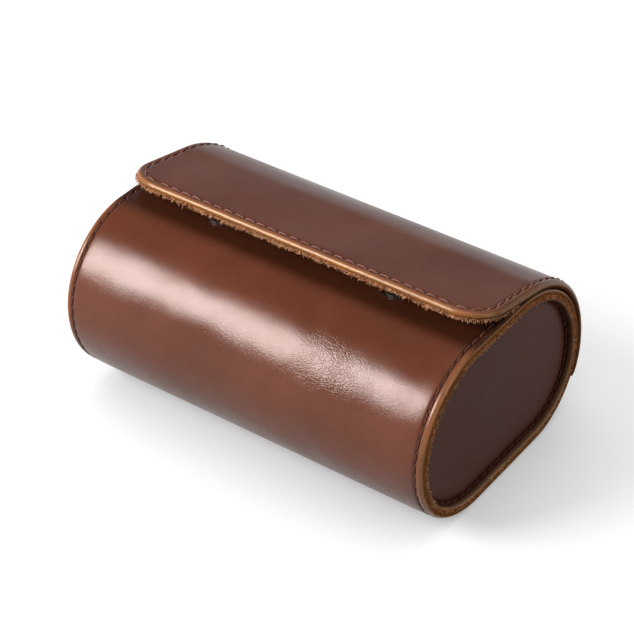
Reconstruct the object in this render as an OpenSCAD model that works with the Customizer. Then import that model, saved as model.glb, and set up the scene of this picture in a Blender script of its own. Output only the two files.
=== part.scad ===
// Leather travel case for two watches: a stiffened leather body with recessed
// end caps, a flap that folds over the top from the back, two hidden magnetic
// snaps, and a lift-out pillow on each side of a divider.
// X runs along the case, the mouth's front is -Y, the hinge is +Y, Z is up.
// The origin is on the floor, in the middle of the closed case.

/* [Case body] */
// Length of the case, from rim to rim
case_l = 130; // [110:1:170]
// Depth of the body, from the front wall to the back wall
case_d = 90; // [86:1:100]
// Height of the body, without the flap
case_h = 61.5; // [59:0.5:66]
// Radius of the body's upper front corner
front_top_r = 28; // [26:0.5:30]
// Radius of the body's lower back corner
back_bottom_r = 22.5; // [21:0.5:24]

/* [Walls and ends] */
// Thickness of the outer leather of the body and the flap
leather_t = 2; // [1.8:0.1:2.4]
// Thickness of the end caps' leather
cap_t = 1.8; // [1.4:0.1:2.2]
// Thickness of the stiffening board in the walls and ends
board_t = 1.2; // [0.9:0.1:1.6]
// Thickness of the suede lining of the walls and ends
lining_t = 0.8; // [0.5:0.1:1]
// Distance from the seam's inner stitches back to each end panel
panel_gap = 0.3; // [0.2:0.1:3]

/* [Mouth and divider] */
// Distance from the top of the back's curve forward to the mouth's front edge
mouth_front = 8; // [6:0.5:10]
// Height of the back wall's top edge
mouth_back_z = 25; // [23.5:0.5:25.5]
// Width of the closed rim at each end of the mouth
mouth_rim_w = 7.5; // [7:0.5:9]
// Thickness of the divider's board
divider_board_t = 1.8; // [1.2:0.1:2.6]
// Height of the divider, from the floor under the case
divider_top_z = 46; // [38:1:50]

/* [Flap] */
// Gap between the closed flap's leather and the rims
flap_gap = 0.3; // [0.2:0.05:0.5]
// Angle, up from the back, at which the flap leaves its curve
flap_bend_end = 78.5; // [77.5:0.5:79.5]
// Distance from the snaps to the flap's front edge
flap_front = 7.7; // [7.2:0.1:9]
// Radius of the flap's front corners
flap_corner_r = 11.5; // [9:0.5:14]
// Thickness of the flap's stiffening board
flap_board_t = 0.8; // [0.6:0.1:1]
// Thickness of the flap's suede lining, over the board included
flap_lining_t = 1.6; // [1.4:0.1:1.8]
// Distance from the flap's edges to its board
flap_board_inset = 3.6; // [3.4:0.1:4]
// Gap between the flap's lining and the ends of the mouth
flap_lining_gap = 0.6; // [0.4:0.1:1]
// Angle, up from the back, at which the flap's lining starts
flap_lining_from = 14; // [12:1:20]
// Angle, up from the back, at which the flap's board starts
flap_board_from = 16; // [14:1:22]

/* [Hinge strip] */
// Height of the hinge strip's lower, sewn edge
strip_low_z = 11; // [10:0.5:12.5]
// Height of the hinge strip's upper edge, where the flap's leather starts
strip_top_z = 27; // [26:0.5:28]

/* [Stitching] */
// Distance from one stitch to the next
stitch_pitch = 4; // [3.5:0.1:5]
// Length of one stitch
stitch_l = 2.8; // [2:0.1:3.2]
// Thickness of the thread
thread_t = 0.6; // [0.5:0.05:0.7]
// Distance from a leather edge to its row of stitches
stitch_inset = 2.6; // [2.2:0.1:3]
// Width of the groove that the body's seams lie in
groove_w = 1.4; // [1.1:0.1:1.8]
// How far the outer row of a seam lies below the leather's face, so that its straight
// stitches stay below it where the leather curves
groove_clearance = 0.1; // [0.08:0.01:0.15]
// Distance between the two rows that hold the hinge strip
strip_row_gap = 3.4; // [2:0.2:4]

/* [Magnetic snaps] */
// Diameter of a snap
snap_d = 7; // [6:0.5:7.5]
// Distance from the middle of the case to each snap
snap_x = 32; // [20:1:40]
// Gap between a snap and the stitches along the mouth
snap_stitch_gap = 0.6; // [0.4:0.1:1.5]
// Height of a socket above the leather that it is let into
socket_proud = 0.8; // [0.6:0.1:0.9]
// Depth of a socket in the leather
socket_sunk = 1; // [0.8:0.1:1.2]
// Thickness of the snaps' pressed sheet metal
snap_sheet_t = 0.3; // [0.25:0.05:0.35]
// Diameter of the hole in a socket
socket_hole_d = 4.4; // [4:0.1:4.6]
// Diameter of the post that enters a socket
post_d = 2.8; // [2.4:0.1:3]
// Length of the post below its plate
post_l = 1.9; // [1.7:0.1:2]
// Thickness of the plate that carries a post
post_plate_t = 0.4; // [0.3:0.05:0.5]
// Thickness of the washers behind the leather
washer_t = 0.4; // [0.3:0.05:0.5]
// Distance from a snap's edge to that of the washer behind it
washer_inset = 0.3; // [0.2:0.05:0.5]

/* [Watch pillows] */
// Width of a pillow, across the mouth
pillow_w = 52; // [46:1:52]
// Thickness of a pillow, along the way that it lifts out
pillow_t = 36; // [34:0.5:37]
// Radius of a pillow's edges
pillow_r = 17; // [12:0.5:17]
// Thickness of a pillow's suede cover
cover_t = 1; // [0.6:0.1:1.4]
// Gap between a pillow and the lining on each side
pillow_gap = 0.6; // [0.4:0.1:1]
// Gap under a seated pillow
pillow_seat_gap = 0.3; // [0.2:0.05:0.4]

/* [Hidden] */
$fn = 96;

// Overshoot of a cut past the face that it opens
cut = 1;
// Overlap of two shapes that are joined into one piece
weld = 0.3;
// How far the flap's flat part lies inside the faces of its curve, so that the two
// cut each other squarely where they join
flat_step = 0.01;
half_l = case_l / 2;
groove_depth = thread_t + groove_clearance;

// The section is four arcs, each a quarter turn, joined by a flat top and a
// flat bottom. The front arcs fill the height together, and so do the back arcs.
front_bottom_r = case_h - front_top_r;
back_top_r = case_h - back_bottom_r;
strip_t = flap_gap + leather_t;
// The flap's curve stands behind the body, so the body sits forward by half of it
body_front = -(case_d + strip_t) / 2;
body_back = body_front + case_d;
front_top_c = [body_front + front_top_r, front_bottom_r];
front_bottom_c = [body_front + front_bottom_r, front_bottom_r];
back_bottom_c = [body_back - back_bottom_r, back_bottom_r];
back_top_c = [body_back - back_top_r, back_bottom_r];

// Depths below the outer leather at which each layer starts
board_at = leather_t;
lining_at = board_at + board_t;
inside_at = lining_at + lining_t;

// Depth of each end panel behind its rim
rim_depth = stitch_inset + thread_t / 2 + panel_gap;

// Places along X, from the middle of the case to its right end
cap_x = half_l - rim_depth - cap_t;
end_board_x = cap_x - board_t;
end_lining_x = end_board_x - lining_t;
mouth_half_l = half_l - mouth_rim_w;
divider_half_t = divider_board_t / 2 + lining_t;

// Corners of the mouth in the section, on the outer leather's line
mouth_front_y = back_top_c[0] - mouth_front;

// Radii of the flap's layers about the middle of the back's upper arc
flap_in_r = back_top_r + flap_gap;
flap_out_r = flap_in_r + leather_t;
flap_board_r = flap_in_r - flap_board_t;
flap_lining_r = flap_in_r - flap_lining_t;
flap_tilt = 90 - flap_bend_end;
flap_from = asin((strip_top_z - back_bottom_r) / flap_in_r);
flap_lining_half_l = mouth_half_l - flap_lining_gap;
flap_board_half_l = flap_lining_half_l - flap_lining_gap;
// Back end of an outline that takes in the whole curve of the flap
flap_plan_back = flap_out_r + cut;
// Open joint between the hinge strip and the flap's leather, as an angle
strip_joint = 0.15;
// Least angle of lining past the back end of the flap's board
board_cover = 1;
// Past this distance from the bend the lining is clear of the rims, so it is full width
rim_clearance = 0.4;
lining_wide_from =
    (back_top_r + rim_clearance - flap_lining_r * cos(flap_tilt)) / sin(flap_tilt);

// Where the post's tip meets the socket, in the section, and from there the snaps'
// distance from the bend of the flap and the length of its straight front part
post_tip_r = flap_lining_r - post_plate_t - post_l;
socket_y = mouth_front_y - stitch_inset - thread_t / 2 - snap_stitch_gap - snap_d / 2;
snap_back = (back_top_c[0] + post_tip_r * sin(flap_tilt) - socket_y) / cos(flap_tilt);
flap_reach = snap_back + flap_front;
prong_l = 2;
prong_t = 0.4;
prong_gap = 2.4;
washer_d = snap_d - 2 * washer_inset;

// The pillow lies along the mouth's chord and lifts out square to it
mouth_low = [back_top_c[0] + sqrt(pow(back_top_r - inside_at, 2)
    - pow(mouth_back_z - back_bottom_r, 2)), mouth_back_z];
mouth_high = [mouth_front_y, case_h - inside_at];
mouth_mid = (mouth_low + mouth_high) / 2;
mouth_angle = atan2(mouth_low[1] - mouth_high[1], mouth_low[0] - mouth_high[0]);
pillow_z = inside_at + pillow_seat_gap + pillow_r
    + (pillow_w / 2 - pillow_r) * abs(sin(mouth_angle))
    + (pillow_t / 2 - pillow_r) * cos(mouth_angle);
pillow_y = mouth_mid[0] + (mouth_mid[1] - pillow_z) * tan(mouth_angle);
pillow_x0 = divider_half_t + pillow_gap;
pillow_x1 = min(end_lining_x, mouth_half_l) - pillow_gap;

leather_brown = "#7a4836";
cap_brown = "#4a3432";
suede_tan = "#b98a5c";
thread_red = "#4b241f";
board_grey = "#8d8478";
steel = "#b9bcc0";
magnet_grey = "#4d4f52";
foam_cream = "#e6ddc6";

// Shapes in the section

// A quarter of a disc about c, turned by quarter turns from the upper back one
module quarter(c, r, turns) {
    translate(c)
        intersection() {
            circle(r);
            rotate(90 * turns) square(r + cut);
        }
}

// A rectangle from its lowest to its highest corner
module rectangle(low, high) {
    translate(low) square(high - low);
}

// The body's section, drawn in by a depth below the outer leather
module section(inset) {
    quarter(back_top_c, back_top_r - inset, 0);
    quarter(front_top_c, front_top_r - inset, 1);
    quarter(front_bottom_c, front_bottom_r - inset, 2);
    quarter(back_bottom_c, back_bottom_r - inset, 3);
    rectangle([front_top_c[0], min(front_bottom_r, back_bottom_r)],
        [back_top_c[0], case_h - inset]);
    rectangle([front_bottom_c[0], inset],
        [back_bottom_c[0], max(front_bottom_r, back_bottom_r)]);
}

// A layer of the wall, all round the section
module wall(inset, t) {
    difference() {
        section(inset);
        section(inset + t);
    }
}

// A bent strip about c, between two radii and two angles
module bend(c, r0, r1, a0, a1) {
    reach = 2 * r1;
    translate(c)
        intersection() {
            difference() {
                circle(r1);
                circle(r0);
            }
            polygon([[0, 0], reach * [cos(a0), sin(a0)],
                reach * [cos((a0 + a1) / 2), sin((a0 + a1) / 2)],
                reach * [cos(a1), sin(a1)]]);
        }
}

// A section shape, drawn out along the case
module along_x(x0, x1) {
    translate([x0, 0, 0])
        rotate([90, 0, 90])
            linear_extrude(x1 - x0) children();
}

// What a piece of the right end looks like at the left end
module at_left() {
    mirror([1, 0, 0]) children();
}

// Layers of the body

// The opening that the flap covers
module mouth() {
    along_x(-mouth_half_l, mouth_half_l)
        rectangle([mouth_front_y, mouth_back_z], [body_back + cut, case_h + cut]);
}

// A layer of the wall that is cut open at the mouth
module wrapped_layer(inset, t, half) {
    difference() {
        along_x(-half, half) wall(inset, t);
        mouth();
    }
}

module end_cap() {
    difference() {
        along_x(cap_x, half_l) section(leather_t);
        along_x(cap_x + cap_t, half_l + cut) section(leather_t + cap_t);
    }
}

module end_board() {
    along_x(end_board_x, cap_x) section(lining_at);
}

module end_lining() {
    along_x(end_lining_x, end_board_x) section(inside_at);
}

// The divider's outline: the inside of the body, cut off level at the top
module divider_section() {
    intersection() {
        section(inside_at);
        rectangle([body_front, 0], [body_back, divider_top_z]);
    }
}

// Stitches

// One stitch along X, lying flat on the plane Z = 0
module stitch() {
    translate([0, 0, thread_t / 2])
        rotate([0, 90, 0])
            rotate([0, 0, 30])
                cylinder(r = thread_t / 2 / cos(30), h = stitch_l, center = true, $fn = 6);
}

// Carries a shape on Z = 0 to a point of the section, with Z along the normal there
module on_normal(x, p, normal) {
    translate([x, p[0], p[1]]) rotate([normal - 90, 0, 0]) children();
}

// Pieces of the outline, clockwise from the top: arc centre, radius and first normal
// of each arc, or the two ends and the normal of each flat
function outline_piece(k) = [
    [front_top_c, back_top_c, 90],
    [back_top_c, back_top_r, 90],
    [back_bottom_c, back_bottom_r, 0],
    [back_bottom_c, front_bottom_c, -90],
    [front_bottom_c, front_bottom_r, -90],
    [front_top_c, front_top_r, -180]
][k];
function is_flat(k) = k == 0 || k == 3;
function piece_l(k, inset) = is_flat(k)
    ? abs(outline_piece(k)[1][0] - outline_piece(k)[0][0])
    : PI / 2 * (outline_piece(k)[1] - inset);
function outline_l(inset) =
    piece_l(0, inset) + piece_l(1, inset) + piece_l(2, inset)
    + piece_l(3, inset) + piece_l(4, inset) + piece_l(5, inset);
function flat_z(k, inset) = k == 0 ? case_h - inset : inset;
// Place and normal at a share of one piece of the outline
function piece_at(k, share, inset) = is_flat(k)
    ? [[outline_piece(k)[0][0] * (1 - share) + outline_piece(k)[1][0] * share,
        flat_z(k, inset)], outline_piece(k)[2]]
    : let (normal = outline_piece(k)[2] - 90 * share)
        [outline_piece(k)[0] + (outline_piece(k)[1] - inset) * [cos(normal), sin(normal)],
            normal];
// Place and normal at a distance along the outline, from the front of the flat top
function outline_at(s, inset, k = 0) = s <= piece_l(k, inset) || k == 5
    ? piece_at(k, s / piece_l(k, inset), inset)
    : outline_at(s - piece_l(k, inset), inset, k + 1);

// A row of stitches all round the section, outside or inside a wall
module ring_of_stitches(x, inset, outside) {
    count = floor(outline_l(inset) / stitch_pitch);
    smallest_r = min(front_top_r, back_bottom_r) - inset;
    // A stitch inside the wall rests on its two ends
    lift = outside ? 0 : pow(stitch_l / 2, 2) / smallest_r;
    for (i = [0:count - 1]) {
        at = outline_at((i + 0.5) * outline_l(inset) / count, inset);
        on_normal(x, at[0], at[1] + (outside ? 0 : 180))
            translate([0, 0, lift]) rotate([0, 0, 90]) stitch();
    }
}

// The seam through the wall and the end cap: a row outside and a row inside
module seam_stitches() {
    ring_of_stitches(half_l - stitch_inset, groove_depth, true);
    ring_of_stitches(half_l - stitch_inset, leather_t + cap_t, false);
}

// A row of stitches along X, centred, no longer than the given length
module row_along_x(length) {
    count = floor(length / stitch_pitch);
    for (i = [0:count - 1])
        translate([(i - (count - 1) / 2) * stitch_pitch, 0, 0]) stitch();
}

// The groove that the outer row of a seam lies in
module seam_groove() {
    along_x(half_l - stitch_inset - groove_w / 2, half_l - stitch_inset + groove_w / 2)
        wall(-cut, groove_depth + cut);
}

// Snaps

// Puts a snap's parts at both places on the front wall, from the leather's face up
module at_sockets() {
    for (x = [-snap_x, snap_x])
        translate([x, socket_y, case_h]) children();
}

// Puts a snap's parts at both places under the flap, from the lining's face up
module at_posts() {
    for (x = [-snap_x, snap_x])
        on_flap() translate([x, -snap_back, flap_lining_r]) children();
}

// The two bent-over prongs of a snap, between two heights
module prongs(z0, z1) {
    for (y = [-prong_gap / 2, prong_gap / 2])
        translate([-prong_l / 2, y - prong_t / 2, z0]) cube([prong_l, prong_t, z1 - z0]);
}

module disc(d, z0, z1) {
    translate([0, 0, z0]) cylinder(d = d, h = z1 - z0);
}

// Flap

// Carries a shape to the flap's flat front part: Z is its distance from the
// middle of the curve, and -Y runs forward from the bend
module on_flap() {
    translate([0, back_top_c[0], back_top_c[1]]) rotate([-flap_tilt, 0, 0]) children();
}

// Outline of the flap's flat part, with rounded front corners
module flap_outline(half, inset, back_y) {
    r = flap_corner_r - inset;
    front_y = inset - flap_reach;
    rectangle([-half, front_y + r], [half, back_y]);
    rectangle([r - half, front_y], [half - r, front_y + r]);
    quarter([r - half, front_y + r], r, 2);
    quarter([half - r, front_y + r], r, 3);
}

// The section of a layer of the flap, its curve first and its flat part running
// on past the front edge
module flap_section(r0, r1, from) {
    bend(back_top_c, r0, r1, from, flap_bend_end);
    translate(back_top_c)
        rotate(-flap_tilt)
            rectangle([-flap_reach - cut, r0 + flat_step], [weld, r1 - flat_step]);
}

// A layer of the flap between two radii, cut to an outline seen square to its flat part
module flap_layer(r0, r1, from) {
    intersection() {
        along_x(-half_l - cut, half_l + cut) flap_section(r0, r1, from);
        on_flap() linear_extrude(flap_out_r + 2 * cut) children();
    }
}

// The flap's board, or the room for it, up to a radius about the middle of the curve
module flap_board_body(r1) {
    flap_layer(flap_board_r, r1, max(flap_board_from, flap_lining_from + board_cover))
        flap_outline(flap_board_half_l, flap_board_inset, flap_plan_back);
}

// Pillows

module pillow_outline(inset) {
    r = pillow_r - inset;
    translate([pillow_y, pillow_z])
        rotate(mouth_angle) {
            rectangle([inset - pillow_w / 2, r - pillow_t / 2 + inset],
                [pillow_w / 2 - inset, pillow_t / 2 - inset - r]);
            rectangle([r + inset - pillow_w / 2, inset - pillow_t / 2],
                [pillow_w / 2 - inset - r, pillow_t / 2 - inset]);
            for (y = [-1, 1], z = [-1, 1])
                translate([y * (pillow_w / 2 - pillow_r), z * (pillow_t / 2 - pillow_r)])
                    circle(r);
        }
}

module pillow_cover() {
    along_x(pillow_x0, pillow_x1)
        difference() {
            pillow_outline(0);
            pillow_outline(cover_t);
        }
}

module pillow_ends() {
    along_x(pillow_x0, pillow_x0 + cover_t) pillow_outline(cover_t);
    along_x(pillow_x1 - cover_t, pillow_x1) pillow_outline(cover_t);
}

module pillow_foam() {
    along_x(pillow_x0 + cover_t, pillow_x1 - cover_t) pillow_outline(cover_t);
}

// Nodes of the body

module body_leather() {
    color(leather_brown)
        difference() {
            wrapped_layer(0, leather_t, half_l);
            seam_groove();
            at_left() seam_groove();
            at_sockets() disc(snap_d, -socket_sunk, cut);
            at_sockets() prongs(-leather_t - cut, 0);
        }
}

module body_stiffener() {
    color(board_grey)
        difference() {
            wrapped_layer(board_at, board_t, cap_x);
            at_sockets() prongs(-lining_at - cut, cut);
            at_sockets() disc(washer_d, -lining_at - cut, -lining_at + washer_t);
        }
}

module body_lining() {
    color(suede_tan) wrapped_layer(lining_at, lining_t, end_board_x);
}

module right_end_cap() {
    color(cap_brown) end_cap();
}

module left_end_cap() {
    color(cap_brown) at_left() end_cap();
}

module right_end_board() {
    color(board_grey) end_board();
}

module left_end_board() {
    color(board_grey) at_left() end_board();
}

module right_end_lining() {
    color(suede_tan) end_lining();
}

module left_end_lining() {
    color(suede_tan) at_left() end_lining();
}

module right_seam_stitches() {
    color(thread_red) seam_stitches();
}

module left_seam_stitches() {
    color(thread_red) at_left() seam_stitches();
}

module mouth_stitches() {
    color(thread_red)
        translate([0, mouth_front_y - stitch_inset, case_h]) row_along_x(2 * mouth_half_l);
}

module divider_board() {
    color(board_grey)
        along_x(-divider_board_t / 2, divider_board_t / 2) divider_section();
}

module divider_right_suede() {
    color(suede_tan) along_x(divider_board_t / 2, divider_half_t) divider_section();
}

module divider_left_suede() {
    color(suede_tan) at_left() along_x(divider_board_t / 2, divider_half_t) divider_section();
}

module snap_sockets() {
    color(steel)
        at_sockets() {
            difference() {
                disc(snap_d, -socket_sunk, socket_proud);
                disc(snap_d - 2 * snap_sheet_t, -socket_sunk + snap_sheet_t,
                    socket_proud - snap_sheet_t);
                disc(socket_hole_d, -socket_sunk + snap_sheet_t, socket_proud + cut);
            }
            prongs(-lining_at, -socket_sunk);
        }
}

module snap_magnets() {
    color(magnet_grey)
        at_sockets()
            difference() {
                disc(snap_d - 2 * snap_sheet_t, -socket_sunk + snap_sheet_t,
                    socket_proud - snap_sheet_t);
                disc(socket_hole_d, -socket_sunk, socket_proud);
            }
}

module socket_washers() {
    color(steel)
        at_sockets()
            difference() {
                disc(washer_d, -lining_at, -lining_at + washer_t);
                prongs(-lining_at - cut, 0);
            }
}

// The flap's own leather, where it is sewn to the back wall and bends
module hinge_strip() {
    low_angle = asin((strip_low_z - back_bottom_r) / (back_bottom_r + strip_t));
    color(leather_brown) {
        along_x(-half_l, half_l)
            bend(back_bottom_c, back_bottom_r, back_bottom_r + strip_t, low_angle, 0);
        along_x(-half_l, half_l)
            bend(back_top_c, back_top_r, back_top_r + strip_t, 0, flap_from - strip_joint);
    }
}

module hinge_stitches() {
    r = back_bottom_r + strip_t;
    low_row = asin((strip_low_z + stitch_inset - back_bottom_r) / r);
    high_row = low_row + strip_row_gap / r * 180 / PI;
    color(thread_red)
        for (normal = [low_row, high_row])
            on_normal(0, back_bottom_c + r * [cos(normal), sin(normal)], normal)
                row_along_x(case_l - 2 * stitch_inset);
}

// Nodes of the flap

module flap_leather() {
    color(leather_brown)
        flap_layer(flap_in_r, flap_out_r, flap_from) flap_outline(half_l, 0, flap_plan_back);
}

module flap_stiffener() {
    color(board_grey)
        difference() {
            flap_board_body(flap_in_r);
            at_posts() prongs(0, flap_lining_t + cut);
            at_posts() disc(washer_d, flap_lining_t - washer_t, flap_lining_t + cut);
        }
}

module flap_lining() {
    color(suede_tan)
        difference() {
            flap_layer(flap_lining_r, flap_in_r, flap_lining_from) {
                flap_outline(half_l, 0, -lining_wide_from);
                rectangle([-flap_lining_half_l, -lining_wide_from - weld],
                    [flap_lining_half_l, flap_plan_back]);
            }
            flap_board_body(flap_in_r + cut);
            at_posts() prongs(-cut, flap_lining_t + cut);
        }
}

module flap_stitches() {
    side_x = half_l - stitch_inset;
    corner_r = flap_corner_r - stitch_inset;
    side_l = flap_reach - flap_corner_r;
    side_count = floor(side_l / stitch_pitch);
    corner_count = floor(PI / 2 * corner_r / stitch_pitch);
    curve_l = flap_out_r * (flap_bend_end - flap_from) * PI / 180;
    curve_count = floor(curve_l / stitch_pitch);
    color(thread_red) {
        on_flap()
            translate([0, stitch_inset - flap_reach, flap_out_r])
                row_along_x(case_l - 2 * flap_corner_r);
        for (side = [-1, 1]) {
            for (i = [0:side_count - 1])
                on_flap()
                    translate([side * side_x, -(i + 0.5) * side_l / side_count, flap_out_r])
                        rotate([0, 0, 90]) stitch();
            for (i = [0:corner_count - 1]) {
                a = (i + 0.5) * 90 / corner_count;
                on_flap()
                    translate([side * (half_l - flap_corner_r + corner_r * cos(a)),
                        flap_corner_r - flap_reach - corner_r * sin(a), flap_out_r])
                        rotate([0, 0, side * (90 - a)]) stitch();
            }
            for (i = [0:curve_count - 1]) {
                normal = flap_bend_end
                    - (i + 0.5) / curve_count * (flap_bend_end - flap_from);
                on_normal(side * side_x,
                    back_top_c + flap_out_r * [cos(normal), sin(normal)], normal)
                    rotate([0, 0, 90]) stitch();
            }
        }
    }
}

module snap_posts() {
    color(steel)
        at_posts() {
            disc(snap_d, -post_plate_t, 0);
            disc(post_d, -post_plate_t - post_l, -post_plate_t);
            prongs(0, flap_lining_t);
        }
}

module post_washers() {
    color(steel)
        at_posts()
            difference() {
                disc(washer_d, flap_lining_t - washer_t, flap_lining_t);
                prongs(0, flap_lining_t + cut);
            }
}

// Nodes of the pillows

module right_pillow_cover() {
    color(suede_tan) pillow_cover();
}

module right_pillow_ends() {
    color(suede_tan) pillow_ends();
}

module right_pillow_foam() {
    color(foam_cream) pillow_foam();
}

module left_pillow_cover() {
    color(suede_tan) at_left() pillow_cover();
}

module left_pillow_ends() {
    color(suede_tan) at_left() pillow_ends();
}

module left_pillow_foam() {
    color(foam_cream) at_left() pillow_foam();
}

body_leather();
body_stiffener();
body_lining();
right_end_cap();
left_end_cap();
right_end_board();
left_end_board();
right_end_lining();
left_end_lining();
right_seam_stitches();
left_seam_stitches();
mouth_stitches();
divider_board();
divider_right_suede();
divider_left_suede();
snap_sockets();
snap_magnets();
socket_washers();
hinge_strip();
hinge_stitches();
flap_leather();
flap_stiffener();
flap_lining();
flap_stitches();
snap_posts();
post_washers();
right_pillow_cover();
right_pillow_ends();
right_pillow_foam();
left_pillow_cover();
left_pillow_ends();
left_pillow_foam();
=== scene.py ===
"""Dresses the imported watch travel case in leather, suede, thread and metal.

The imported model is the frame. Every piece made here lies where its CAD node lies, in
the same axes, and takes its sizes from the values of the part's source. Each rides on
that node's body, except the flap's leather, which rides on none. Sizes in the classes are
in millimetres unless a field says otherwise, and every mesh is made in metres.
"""

from __future__ import annotations

import logging
import math
from dataclasses import dataclass, field
from enum import Enum

import bpy
import numpy as np
from mathutils import Matrix, Vector


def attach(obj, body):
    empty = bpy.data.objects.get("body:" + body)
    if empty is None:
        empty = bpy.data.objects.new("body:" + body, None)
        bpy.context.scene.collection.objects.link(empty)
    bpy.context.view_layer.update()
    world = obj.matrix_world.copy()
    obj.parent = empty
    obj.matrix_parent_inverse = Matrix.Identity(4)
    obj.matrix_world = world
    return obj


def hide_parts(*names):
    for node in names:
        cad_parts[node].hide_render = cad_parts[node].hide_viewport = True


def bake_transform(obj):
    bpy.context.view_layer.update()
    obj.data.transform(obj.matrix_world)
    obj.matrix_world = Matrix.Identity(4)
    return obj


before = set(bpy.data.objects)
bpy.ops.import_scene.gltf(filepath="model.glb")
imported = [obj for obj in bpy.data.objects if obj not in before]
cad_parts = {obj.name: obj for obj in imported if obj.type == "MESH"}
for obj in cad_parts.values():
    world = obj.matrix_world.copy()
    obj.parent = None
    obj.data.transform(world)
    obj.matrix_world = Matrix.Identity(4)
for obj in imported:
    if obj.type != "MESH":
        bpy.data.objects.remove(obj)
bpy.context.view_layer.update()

MM = 0.001
Array = np.ndarray
Triple = tuple[float, float, float]
Colour = Triple
Rows = tuple[Array, Array, Array]
Socket = bpy.types.NodeSocket
Material = bpy.types.Material
log = logging.getLogger("travel_case")


class Body(str, Enum):
    """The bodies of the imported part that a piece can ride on."""

    CASE = "case"
    FLAP = "flap"
    RIGHT_PILLOW = "right_pillow"
    LEFT_PILLOW = "left_pillow"


class End(Enum):
    """The two ends of the case, as the sign of X there."""

    RIGHT = 1
    LEFT = -1

    @property
    def word(self) -> str:
        """The end's name as node names begin."""
        return self.name.lower()


class PieceOf(Enum):
    """The six pieces of the case's outline, clockwise from the top as seen from the right."""

    TOP = 0
    BACK_TOP = 1
    BACK_BOTTOM = 2
    BOTTOM = 3
    FRONT_BOTTOM = 4
    FRONT_TOP = 5


# Sizes and outlines


@dataclass(frozen=True)
class CaseSizes:
    """The sizes that several sub-assemblies share, as in the part's source."""

    half_l: float = 65.0
    height: float = 61.5
    front_y: float = -46.15
    back_y: float = 43.85
    front_top_r: float = 28.0
    back_bottom_r: float = 22.5
    leather_t: float = 2.0
    cap_t: float = 1.8
    board_t: float = 1.2
    lining_t: float = 0.8
    rim_depth: float = 3.2
    mouth_half_l: float = 57.5
    mouth_front_y: float = -3.15
    mouth_back_z: float = 25.0
    stitch_pitch: float = 4.0
    stitch_l: float = 2.8
    thread_t: float = 0.6
    stitch_inset: float = 2.6

    @property
    def front_bottom_r(self) -> float:
        """Radius of the lower front corner."""
        return self.height - self.front_top_r

    @property
    def back_top_r(self) -> float:
        """Radius of the upper back corner."""
        return self.height - self.back_bottom_r

    @property
    def front_top_c(self) -> tuple[float, float]:
        """Centre of the upper front corner, as (y, z)."""
        return self.front_y + self.front_top_r, self.front_bottom_r

    @property
    def front_bottom_c(self) -> tuple[float, float]:
        """Centre of the lower front corner, as (y, z)."""
        return self.front_y + self.front_bottom_r, self.front_bottom_r

    @property
    def back_bottom_c(self) -> tuple[float, float]:
        """Centre of the lower back corner, as (y, z)."""
        return self.back_y - self.back_bottom_r, self.back_bottom_r

    @property
    def back_top_c(self) -> tuple[float, float]:
        """Centre of the upper back corner, as (y, z)."""
        return self.back_y - self.back_top_r, self.back_bottom_r

    @property
    def cap_x(self) -> float:
        """Inner face of an end cap's panel."""
        return self.half_l - self.rim_depth - self.cap_t

    @property
    def end_lining_x(self) -> float:
        """Inner face of an end's lining."""
        return self.cap_x - self.board_t - self.lining_t

    @property
    def lining_at(self) -> float:
        """Depth of the lining below the outer leather."""
        return self.leather_t + self.board_t

    @property
    def inside_at(self) -> float:
        """Depth of the inside below the outer leather."""
        return self.lining_at + self.lining_t


@dataclass(frozen=True)
class Stations:
    """Points along a line in the section, from which a sheet is drawn out along X.

    A point's place at a depth is its base plus (radius - depth) times its normal.
    """

    base: Array
    radius: Array
    normal: Array
    along: Array

    def points(self, depth: float | Array) -> Array:
        """The (y, z) of each station.

        Args:
            depth: Depth below the outer face, one number or one for each station.

        Returns:
            An array of shape (stations, 2).
        """
        reach = self.radius - np.broadcast_to(depth, self.radius.shape)
        return self.base + reach[:, None] * self.normal

    def opened(self) -> "Stations":
        """These stations without the last one, which on a closed line is the first again."""
        return Stations(self.base[:-1], self.radius[:-1], self.normal[:-1], self.along[:-1])

    def joined(self, other: "Stations") -> "Stations":
        """These stations followed by others, without the point that they share."""
        return Stations(
            np.concatenate([self.base, other.base[1:]]),
            np.concatenate([self.radius, other.radius[1:]]),
            np.concatenate([self.normal, other.normal[1:]]),
            np.concatenate([self.along, other.along[1:] + self.along[-1]]),
        )


def unit(degrees: float | Array) -> Array:
    """Unit vectors (y, z) at an angle, in degrees, up from +Y."""
    angle = np.radians(np.asarray(degrees, float))
    return np.stack([np.cos(angle), np.sin(angle)], -1)


def angle_at(height: float, centre: tuple[float, float], radius: float) -> float:
    """The angle, in degrees up from +Y, at which an arc about a centre reaches a height."""
    return math.degrees(math.asin((height - centre[1]) / radius))


def arc(centre: tuple[float, float], radius: float, start: float, end: float, pitch: float) -> Stations:
    """Stations along an arc.

    Args:
        centre: Its middle, as (y, z).
        radius: Its radius at the outer face.
        start: First normal, in degrees up from +Y.
        end: Last normal.
        pitch: Longest distance between two stations.

    Returns:
        The stations, both ends included.
    """
    length = abs(math.radians(end - start)) * radius
    count = max(2, int(math.ceil(length / pitch)) + 1)
    return Stations(
        np.repeat(np.array([centre], float), count, 0),
        np.full(count, radius),
        unit(np.linspace(start, end, count)),
        np.linspace(0, length, count),
    )


def straight(start: tuple[float, float], end: tuple[float, float], normal: float, pitch: float) -> Stations:
    """Stations along a straight line.

    Args:
        start: First point, as (y, z), on the outer face.
        end: Last point.
        normal: Normal of the outer face, in degrees up from +Y.
        pitch: Longest distance between two stations.

    Returns:
        The stations, both ends included.
    """
    a, b = np.array(start, float), np.array(end, float)
    length = float(np.linalg.norm(b - a))
    count = max(2, int(math.ceil(length / pitch)) + 1)
    share = np.linspace(0, 1, count)
    return Stations(
        a + share[:, None] * (b - a),
        np.zeros(count),
        np.repeat(unit(normal)[None], count, 0),
        share * length,
    )


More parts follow.
